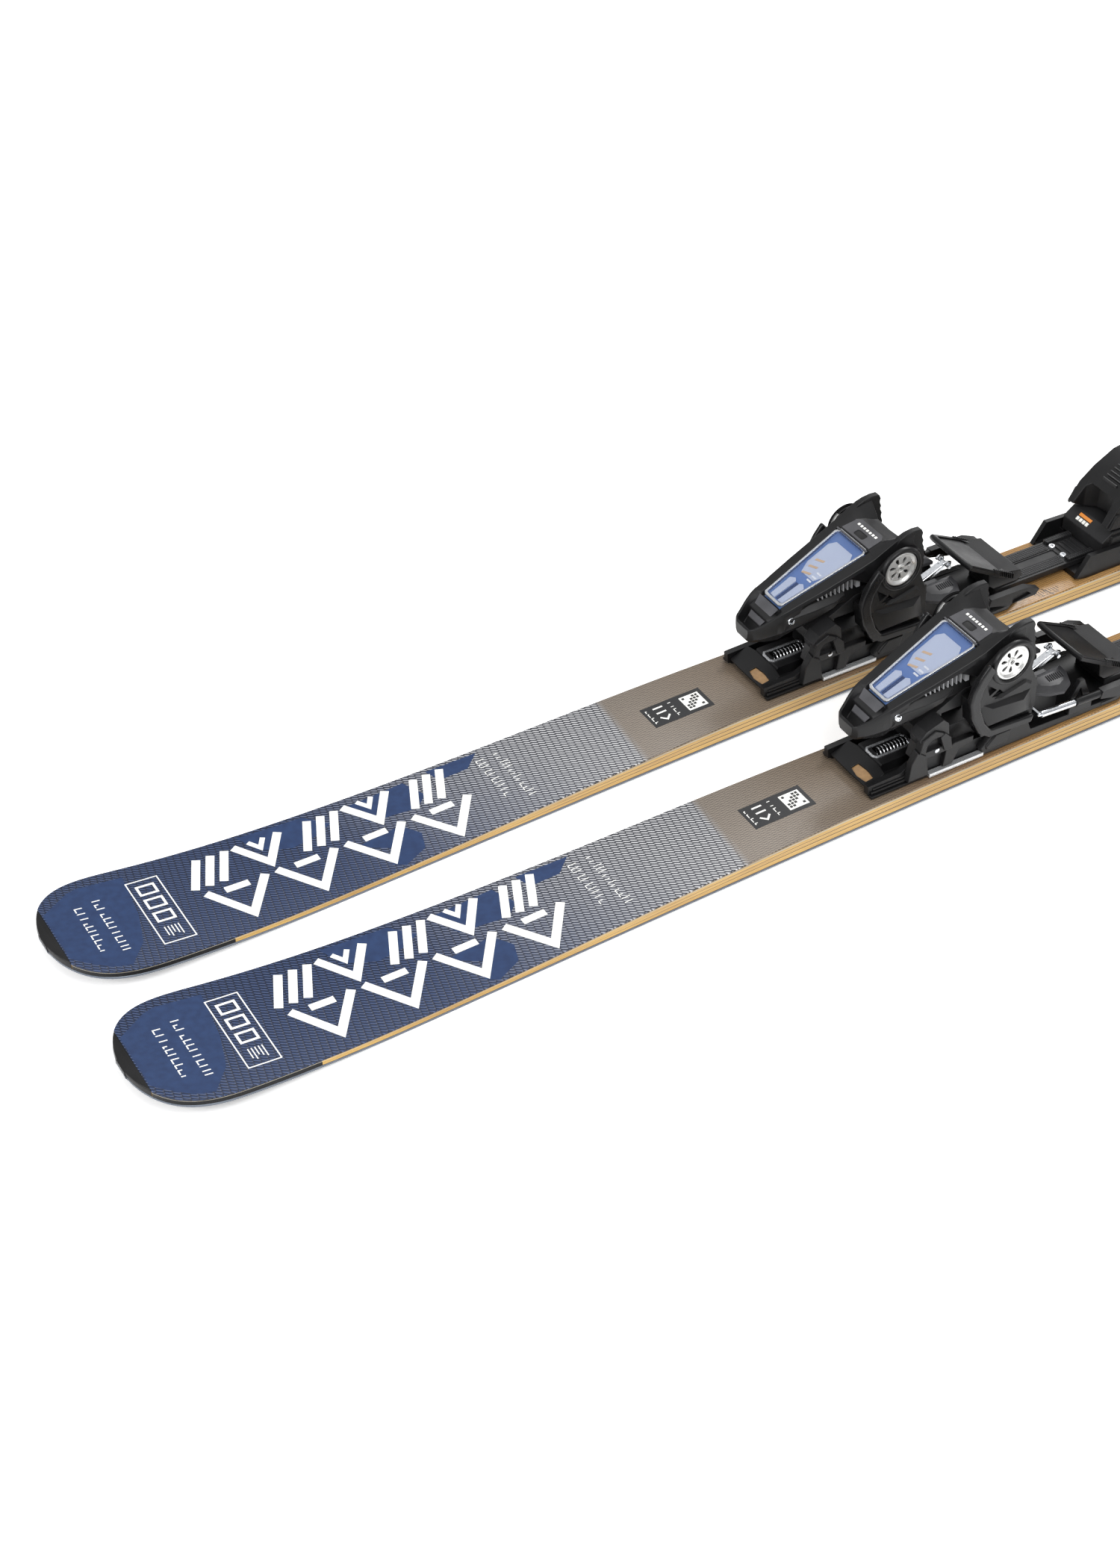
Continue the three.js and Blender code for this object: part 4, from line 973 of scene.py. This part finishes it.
class SKI_OT_toe(bpy.types.Operator):
    """Makes the toe housing, its carriage, jaws, wheels and window"""

    bl_idname = "ski.toe"
    bl_label = "Toe piece"

    def execute(self, context):
        for side in SIDES:
            body = f"toe_carriage_{side}"
            part("toe_carriage", side, "grey", "grey_plastic", body, 0.8)
            for hand in (1, -1):
                stud = Shape().turned((146, hand * 37.5, 50), (0, hand, 0), [(0, 2.6), (1.2, 2.4), (1.8,
                                      1.4)], 20)
                name = "outer" if hand > 0 else "inner"
                stud.fit(f"arm_stud_{name}", side, "chrome", body, "chrome")
                leg = Shape()
                leg.prism([(176, 25), (174, 46), (168, 58), (157, 50), (152, 25)], "y", hand * 33,
                          hand * 39.4, 0.1)
                leg.prism([(168, 52), (165, 68), (150, 75), (141, 70), (140, 66), (154, 66)], "y", hand * 33,
                          hand * 40, 0.12)
                leg.prism([(139, 47), (146, 66), (141, 70), (133, 62), (130, 47)], "y", hand * 32,
                          hand * 40.5, 0.1)
                leg.prism([(137, 26), (135, 46), (126, 50), (104, 50), (104, 44), (120, 40), (126, 26)], "y",
                          hand * 32, hand * 37.4, 0.06)
                leg.fit(f"arm_legs_{name}", side, "black", body, "black_plastic", bevel=0.7)
            self.housing(side, body)
            self.window(side, body)
            part("toe_screw", side, "spring", "polished_steel", f"toe_screw_{side}", 0.3)
            toe_jaw(1, "outer", side)
            toe_jaw(-1, "inner", side)
            self.sole_rest(side)
        return {"FINISHED"}

    def housing(self, side, body):
        """The bullet-shaped housing: rimmed bowl, seat for the window, two fins and a lower hull."""
        shell = Shape()
        rings = []
        for x, low, flank, shoulder, rim, inner, wall, centre in HOUSING:
            half = [low, flank, shoulder, rim, inner, wall, (0, centre)]
            rings.append([(x, 0, low[1])] + [(x, y, z) for y, z in half]
                         + [(x, -y, z) for y, z in reversed(half[:-1])])
        shell.loft(rings)
        shell.fit("housing_shell", side, "black", body, "black_plastic", f"toe_housing_{side}", bevel=0.9,
                  segments=3, sharp=38)
        ramp = Shape().plate([both([(206, 9.4), (190.6, 14.4)])], "z", 85.6, 86.8, -0.99, 206)
        ramp.fit("nose_ramp", side, "flat_grey", body, "grey_plastic", bevel=0.3)
        fins = Shape()
        for hand in (1, -1):
            fins.plate([list(FIN)], "y", hand * 28.8, hand * 35.3)
        fins.fit("housing_fins", side, "black_grained", body, "black_plastic", bevel=1.3, segments=3)
        hull = Shape()
        hull.loft([[(x, 0, low[1])] + [(x, y, z) for y, z in (low, flank, edge, top, (0, centre))]
                   + [(x, -y, z) for y, z in (top, edge, flank, low)]
                   for x, low, flank, edge, top, centre in HULL])
        hull.fit("housing_hull", side, "black_grained", body, "black_plastic", bevel=0.9, segments=3,
                 sharp=26)
        # A dark block inside the housing: painted shade in its hollow.
        core = Shape().prism([(176, 92), (176, 102), (150, 113), (126, 122), (112, 122), (106, 108), (106,
                             92)],
                             "y", -24.5, 24.5)
        core.fit("housing_core", side, "deep", body, "black_plastic")
        comb = Shape()
        for hand in (1, -1):
            for k in range(9):
                x = 156 - 4.6 * k
                top = 112.6 + (150 - x) * 0.36
                comb.prism([(x, 107.5), (x + 1.2, 107.5), (x + 2.4, top), (x + 1.0, top)], "y", hand * 24,
                           hand * 28.2)
            comb.prism([(112, 108), (116, 108), (116.5, 120), (119, 122), (118, 124), (113, 122)], "y",
                       hand * 24,
                       hand * 29.4)
        comb.fit("comb_ribs", side, "pale_grey", body, "grey_plastic", bevel=0.3)
        rivets = Shape()
        for hand in (1, -1):
            rivets.turned((183, hand * 25.2, 93), (0, hand, 0.35), [
                (-2, 3.6), (0.6, 3.6), (1.2, 3.2), (1.4, 2.4), (0.6, 2.0)], 28)
        rivets.fit("housing_rivets", side, "chrome", body, "chrome", bevel=0.1)
        flat = Shape().plate([both([(99, 20.6), (84, 19.4), (80, 15)]), both([(96.6, 5.5), (95.6, 7), (90.6,
                             7),
                                                                             (89.6, 5.5)])],
                             "z", 137.6, 138.8, FLAT_SLOPE, FLAT_FRONT)
        flat.plate([both([(103.4, 22.4), (101.9, 22.9), (101.9, 8)])], "z", 138.0, 138.9, -0.3, 102)
        flat.fit("housing_flat", side, "flat_grey", body, "grey_plastic", bevel=0.4)
        ticks = Shape()
        for k in range(7):
            y = -13.5 + 4.2 * k
            ticks.plate([[(87, y), (87, y + 2.6), (84.6, y + 2.6), (84.6, y)]], "z", 138.6, 139, FLAT_SLOPE,
                        FLAT_FRONT)
        ticks.fit("housing_marks", side, "white", body, "grey_plastic")

    def window(self, side, body):
        """The setting window: silver frame, tinted cover and the scale under it."""
        x0, z0 = LENS_START
        grown = [(187.9, 10.2), (186.2, 13.4), (105, 22.3), (100.5, 19.2)]
        frame_ring = Shape().plate([both(grown), both([(185.6, 9), (184.4, 11.6), (105.6, 20.3), (102.7,
                                   17.8)])],
                                   "z", z0 - 0.7, z0 + 0.9, LENS_SLOPE, x0)
        frame_ring.fit("window_frame", side, "satin_chrome", body, "chrome", bevel=0.35)
        cover = Shape().plate([both(list(LENS))], "z", z0 - 0.5, z0 + 0.5, LENS_SLOPE, x0)
        cover.fit("window_cover", side, "lens", body, "tinted_lens", f"indicator_lens_{side}", bevel=0.2)
        tray = Shape().plate([both([(187, 12), (102, 21.4)])], "z", z0 - 4.4, z0 - 3.4, LENS_SLOPE, x0)
        tray.fit("window_tray", side, "tray", body, "tinted_lens")
        panel = Shape().plate([both([(150, 9), (140, 14.4), (116, 16.4), (110, 12)])], "z", z0 - 3.4,
                              z0 - 2.6,
                              LENS_SLOPE, x0)
        for hand in (1, -1):
            panel.plate([[(183.5, hand * 2.6), (183, hand * 9), (161, hand * 11), (158, hand * 6),
                          (160, hand * 2.6)]], "z", z0 - 3.4, z0 - 1.8, LENS_SLOPE, x0)
        panel.fit("window_panel", side, "silver_ink", body, "chrome", bevel=0.3)
        # A dark strip between the window's panels: painted shade in the gap.
        slot = Shape().plate([both([(182, 1.7), (160, 1.7)])], "z", z0 - 3.4, z0 - 2.8, LENS_SLOPE, x0)
        slot.fit("window_slot", side, "deep", body, "black_plastic")
        gold, white = Shape(), Shape()
        for x, y in ((151, -8), (143, -9), (135, -10)):
            gold.plate([[(x, y), (x - 2.2, y), (x - 5.2, y + 9), (x - 3, y + 9)]], "z", z0 - 2.6, z0 - 2.3,
                       LENS_SLOPE, x0)
        for x, y in ((153, 3), (148, 3.6), (143, 4.2)):
            white.plate([[(x, y), (x - 1.6, y), (x - 1.6, y + 6), (x, y + 6)]], "z", z0 - 2.6, z0 - 2.3,
                        LENS_SLOPE, x0)
        gold.fit("window_gold_marks", side, "gold_ink", body, "tinted_lens")
        white.fit("window_white_marks", side, "white", body, "tinted_lens")

    def sole_rest(self, side):
        """The leaf-shaped sole rest with its ribs."""
        rest = Shape()
        for hand in (1, -1):
            leaf = [(43, 15), (38, 32), (26, 41), (12, 44.5), (0, 38), (-7, 24), (-8, 13)]
            leaf = [(x, hand * y) for x, y in leaf]
            rest.prism(leaf, "z", 62.5, 66)
            rest.prism(leaf, "z", 66, 69.6, 0.42)
            for k in range(8):
                rest.prism([(1 + 2.2 * k, hand * 23), (2.1 + 2.2 * k, hand * 23), (3.3 + 2.2 * k, hand * 31),
                            (2.2 + 2.2 * k, hand * 31)], "z", 69, 70.5)
            rest.block(8, 30, hand * 10, hand * 16, 61, 66.5)
        rest.fit("sole_leaf", side, "light_grey", f"sole_plate_{side}", "grey_plastic",
                 f"sole_plate_{side}", bevel=0.7)


class SKI_OT_brake(bpy.types.Operator):
    """Makes the brake pedal, its link, the wire and the shoes"""

    bl_idname = "ski.brake"
    bl_label = "Brake"

    def execute(self, context):
        for side in SIDES:
            pedal = f"brake_pedal_{side}"
            edge = both([(-15, 22), (-17, 30), (-50, 33), (-60, 31), (-68, 25), (-80, 13)])
            pad = Shape().plate([edge], "z", 50.5, 55.4, PEDAL_SLOPE, PEDAL_REAR)
            pad.plate([edge, both([(-19.5, 20), (-21, 26.5), (-52, 28.8), (-60, 24), (-70, 11)])], "z",
                      55.4, 57,
                      PEDAL_SLOPE, PEDAL_REAR)
            pad.prism([(-40, 65), (-42, 51), (-48, 46), (-76, 46), (-82, 50), (-79, 57)], "y", -30.5, 30.5)
            pad.tube([(-18, -30, 80), (-15.5, -23, 82), (-14.8, 0, 82.6), (-15.5, 23, 82), (-18, 30, 80)], 3)
            pad.fit("pedal_pad", side, "pad", pedal, "black_plastic", pedal, bevel=1.0, segments=3)
            ribs = Shape()
            for hand in (1, -1):
                for k in range(10):
                    x = -45 - 2.6 * k
                    z = 56.6 + PEDAL_SLOPE * (x - PEDAL_REAR)
                    ribs.block(x - 1.3, x, hand * 29.6, hand * 32.8, z - 5, z + 1.1)
            ribs.fit("pedal_ribs", side, "black", pedal, "black_plastic", bevel=0.3)
            link = f"pedal_link_{side}"
            part("pedal_link", side, "chrome", "chrome", link, 0.4)
            clips = Shape()
            for hand in (1, -1):
                clips.tube([(-4, hand * 5, 75), (-9, hand * 6, 76.4), (-12, hand * 6, 75), (-12.4, hand * 5,
                           72)], 1.3)
                clips.tube([(22, hand * 2.6, 58.5), (-7, hand * 2.8, 71.8)], 1.2)
            clips.fit("link_clips", side, "chrome", link, "chrome")
            arms = f"brake_arms_{side}"
            rods = Shape()
            for hand in (1, -1):
                rods.tube([(38, hand * BRAKE_HALF, 51.2), (0, hand * BRAKE_HALF, 48.8)], 3.2, 24)
            rods.fit("brake_rods", side, "chrome", arms, "spring_steel", bevel=0.3)
            sleeves = Shape()
            for hand in (1, -1):
                sleeves.tube([(-2, hand * BRAKE_HALF, 48.6), (-34, hand * BRAKE_HALF, 47)], 3.6, 20)
            sleeves.fit("brake_sleeves", side, "black", arms, "black_plastic", bevel=0.5)
            part("brake_wire", side, "chrome", "spring_steel", arms, 0.0)
            for name in ("outer", "inner"):
                part(f"brake_shoe_{name}", side, "black", "black_plastic", arms, 0.7)
        return {"FINISHED"}


class SKI_OT_heel(bpy.types.Operator):
    """Makes the heel body, its jaw, lever, screw and length lock"""

    bl_idname = "ski.heel"
    bl_label = "Heel piece"

    def execute(self, context):
        for side in SIDES:
            part("heel_body", side, "grey", "grey_plastic", f"heel_body_{side}", 1.0)
            jaw = f"heel_jaw_{side}"
            part("heel_jaw", side, "black", "black_plastic", jaw, 1.4, segments=3)
            gold = Shape().plate([[(-188, -15), (-188, 2), (-190.4, 2), (-190.4, -15)]], "z", 48.8, 49.6,
                                 HEEL_SLOPE, HEEL_FRONT)
            gold.fit("heel_gold_bar", side, "orange", f"heel_body_{side}", "chrome")
            white = Shape()
            for k in range(4):
                y = -15 + 4.4 * k
                white.plate([[(-184, y), (-184, y + 3.4), (-186.8, y + 3.4), (-186.8, y)]], "z", 48.8, 49.6,
                            HEEL_SLOPE, HEEL_FRONT)
            white.fit("heel_white_bars", side, "white", f"heel_body_{side}", "chrome")
            cheeks = Shape()
            for hand in (1, -1):
                cheeks.prism([(-200, 66), (-205, 84), (-232, 100), (-262, 102), (-272, 88), (-250, 72)], "y",
                             hand * 28, hand * 32, 0.16)
                cheeks.prism([(-184, 62), (-192, 78), (-198, 78), (-196, 62)], "y", hand * 28, hand * 31,
                             0.12)
            cheeks.fit("heel_cheeks", side, "black_grained", jaw, "black_plastic", bevel=0.9)
            ribs = Shape()
            for k in range(7):
                x = -206 - 4.2 * k
                z = 97 + (-211 - x) * 0.52
                ribs.block(x - 1.6, x, -10, 10, z - 3, z + 1.4)
            ribs.fit("heel_roof_ribs", side, "black", jaw, "black_plastic", bevel=0.4)
            sides = Shape()
            for hand in (1, -1):
                sides.prism([(-186, 36), (-190, 54), (-236, 54), (-244, 36)], "y", hand * 28.5, hand * 31.2,
                            0.08)
                sides.prism([(-250, 36), (-252, 52), (-284, 52), (-298, 44), (-298, 36)], "y", hand * 28.5,
                            hand * 31.2, 0.08)
                sides.turned((-263, hand * 28, 76), (0, hand, 0), [(0, 6), (2.6, 6), (3.4, 5.2), (3.4, 3),
                             (2.4, 2.6)],
                             36)
            sides.fit("heel_side_panels", side, "black", f"heel_body_{side}", "grey_plastic", bevel=0.8)
            lever = f"heel_lever_{side}"
            part("heel_lever", side, "black_grained", "black_plastic", lever, 1.2, segments=3)
            part("heel_screw", side, "spring", "polished_steel", f"heel_screw_{side}", 0.5)
            part("length_lock", side, "light_grey", "grey_plastic", f"length_lock_{side}", 0.8)
        return {"FINISHED"}


# ------------------------------------------------------------------ stage
CAMERA_AZIMUTH, CAMERA_ELEVATION = 30.712, 40.603
CAMERA_SPOT = (1.26624, 1.36382, 1.4205)
SENSOR = 36
FOCAL_PIXELS, IMAGE_HEIGHT = 3307, 2100


def aim(thing, spot):
    thing.rotation_mode = "QUATERNION"
    thing.rotation_quaternion = (Vector(spot) - thing.location).to_track_quat("-Z", "Y")


class SKI_OT_stage(bpy.types.Operator):
    """Makes the pale floor, the soft lights and the camera"""

    bl_idname = "ski.stage"
    bl_label = "Stage"

    def execute(self, context):
        scene = context.scene
        size = scene.ski_look.floor_size / 2
        data = bpy.data.meshes.new("floor")
        data.from_pydata([(-size, -size, 0), (size, -size, 0), (size, size, 0), (-size, size, 0)], [],
                         [(0, 1, 2, 3)])
        floor = bpy.data.objects.new("floor", data)
        floor.location.z = -0.0006
        scene.collection.objects.link(floor)
        pale = Finish("pale floor", Roughness=0.7, Emission_Color=(1, 1, 1, 1), Emission_Strength=0.34)
        pale.wire(pale.ramp(pale.noise(3, 2), [(0.3, 0.93), (0.7, 0.95)]), "Base Color")
        floor.data.materials.append(pale.material)

        world = bpy.data.worlds.new("studio")
        world.use_nodes = True
        tree = world.node_tree
        split = tree.nodes.new("ShaderNodeSeparateXYZ")
        tree.links.new(tree.nodes.new("ShaderNodeTexCoord").outputs["Generated"], split.inputs[0])
        sky = tree.nodes.new("ShaderNodeValToRGB")
        sky.color_ramp.elements[0].position, sky.color_ramp.elements[0].color = 0.15, (0.27, 0.27, 0.28, 1)
        sky.color_ramp.elements[1].position, sky.color_ramp.elements[1].color = 0.85, (1.0, 1.0, 1.0, 1)
        tree.links.new(split.outputs["Z"], sky.inputs["Fac"])
        tree.links.new(sky.outputs["Color"], tree.nodes["Background"].inputs["Color"])
        tree.nodes["Background"].inputs["Strength"].default_value = 0.85
        scene.world = world
        for name, spot, power, width in (("key", (0.6, 2.2, 3.0), 70, 1.6), ("rim", (-2.2, -1.4, 2.4), 45,
                                         1.2),
                                         ("front", (3.0, 0.2, 1.6), 40, 1.0)):
            lamp = bpy.data.lights.new(name, "AREA")
            lamp.energy, lamp.size = power, width
            light = bpy.data.objects.new(name, lamp)
            light.location = spot
            scene.collection.objects.link(light)
            aim(light, (0, 0, 0.05))

        turn, tilt = math.radians(CAMERA_AZIMUTH), math.radians(CAMERA_ELEVATION)
        right = Vector((-math.cos(turn), math.sin(turn), 0))
        ahead = Vector((-math.sin(turn) * math.cos(tilt), -math.cos(turn) * math.cos(tilt), -math.sin(tilt)))
        up = right.cross(ahead)
        lens = bpy.data.cameras.new("camera")
        lens.sensor_width = SENSOR
        lens.lens = SENSOR * FOCAL_PIXELS / IMAGE_HEIGHT
        lens.clip_start, lens.clip_end = 0.05, 50
        camera = bpy.data.objects.new("camera", lens)
        camera.matrix_world = Matrix((
            (right.x, up.x, -ahead.x, CAMERA_SPOT[0]), (right.y, up.y, -ahead.y, CAMERA_SPOT[1]),
            (right.z, up.z, -ahead.z, CAMERA_SPOT[2]), (0, 0, 0, 1)))
        scene.collection.objects.link(camera)
        scene.camera = camera
        scene.view_settings.view_transform = "Standard"
        return {"FINISHED"}


class SKI_PT_panel(bpy.types.Panel):
    """Lists the pieces and their sizes and colours"""

    bl_idname = "SKI_PT_panel"
    bl_label = "Skis"
    bl_space_type = "VIEW_3D"
    bl_region_type = "UI"
    bl_category = "Skis"

    def draw(self, context):
        for prop in SkiLook.__annotations__:
            self.layout.prop(context.scene.ski_look, prop)
        for step in STEPS:
            self.layout.operator(step.bl_idname)


STEPS = (SKI_OT_top_sheet, SKI_OT_sidewall, SKI_OT_edge_and_base, SKI_OT_tip_guard, SKI_OT_print,
         SKI_OT_plates, SKI_OT_toe, SKI_OT_brake, SKI_OT_heel, SKI_OT_stage)


def register():
    for kind in (SkiLook, *STEPS, SKI_PT_panel):
        bpy.utils.register_class(kind)
    bpy.types.Scene.ski_look = bpy.props.PointerProperty(type=SkiLook)


def unregister():
    del bpy.types.Scene.ski_look
    for kind in reversed((SkiLook, *STEPS, SKI_PT_panel)):
        bpy.utils.unregister_class(kind)


def main():
    register()
    make_finishes(bpy.context.scene.ski_look)
    for step in STEPS:
        group, name = step.bl_idname.split(".")
        getattr(getattr(bpy.ops, group), name)()


if __name__ == "__main__":
    main()
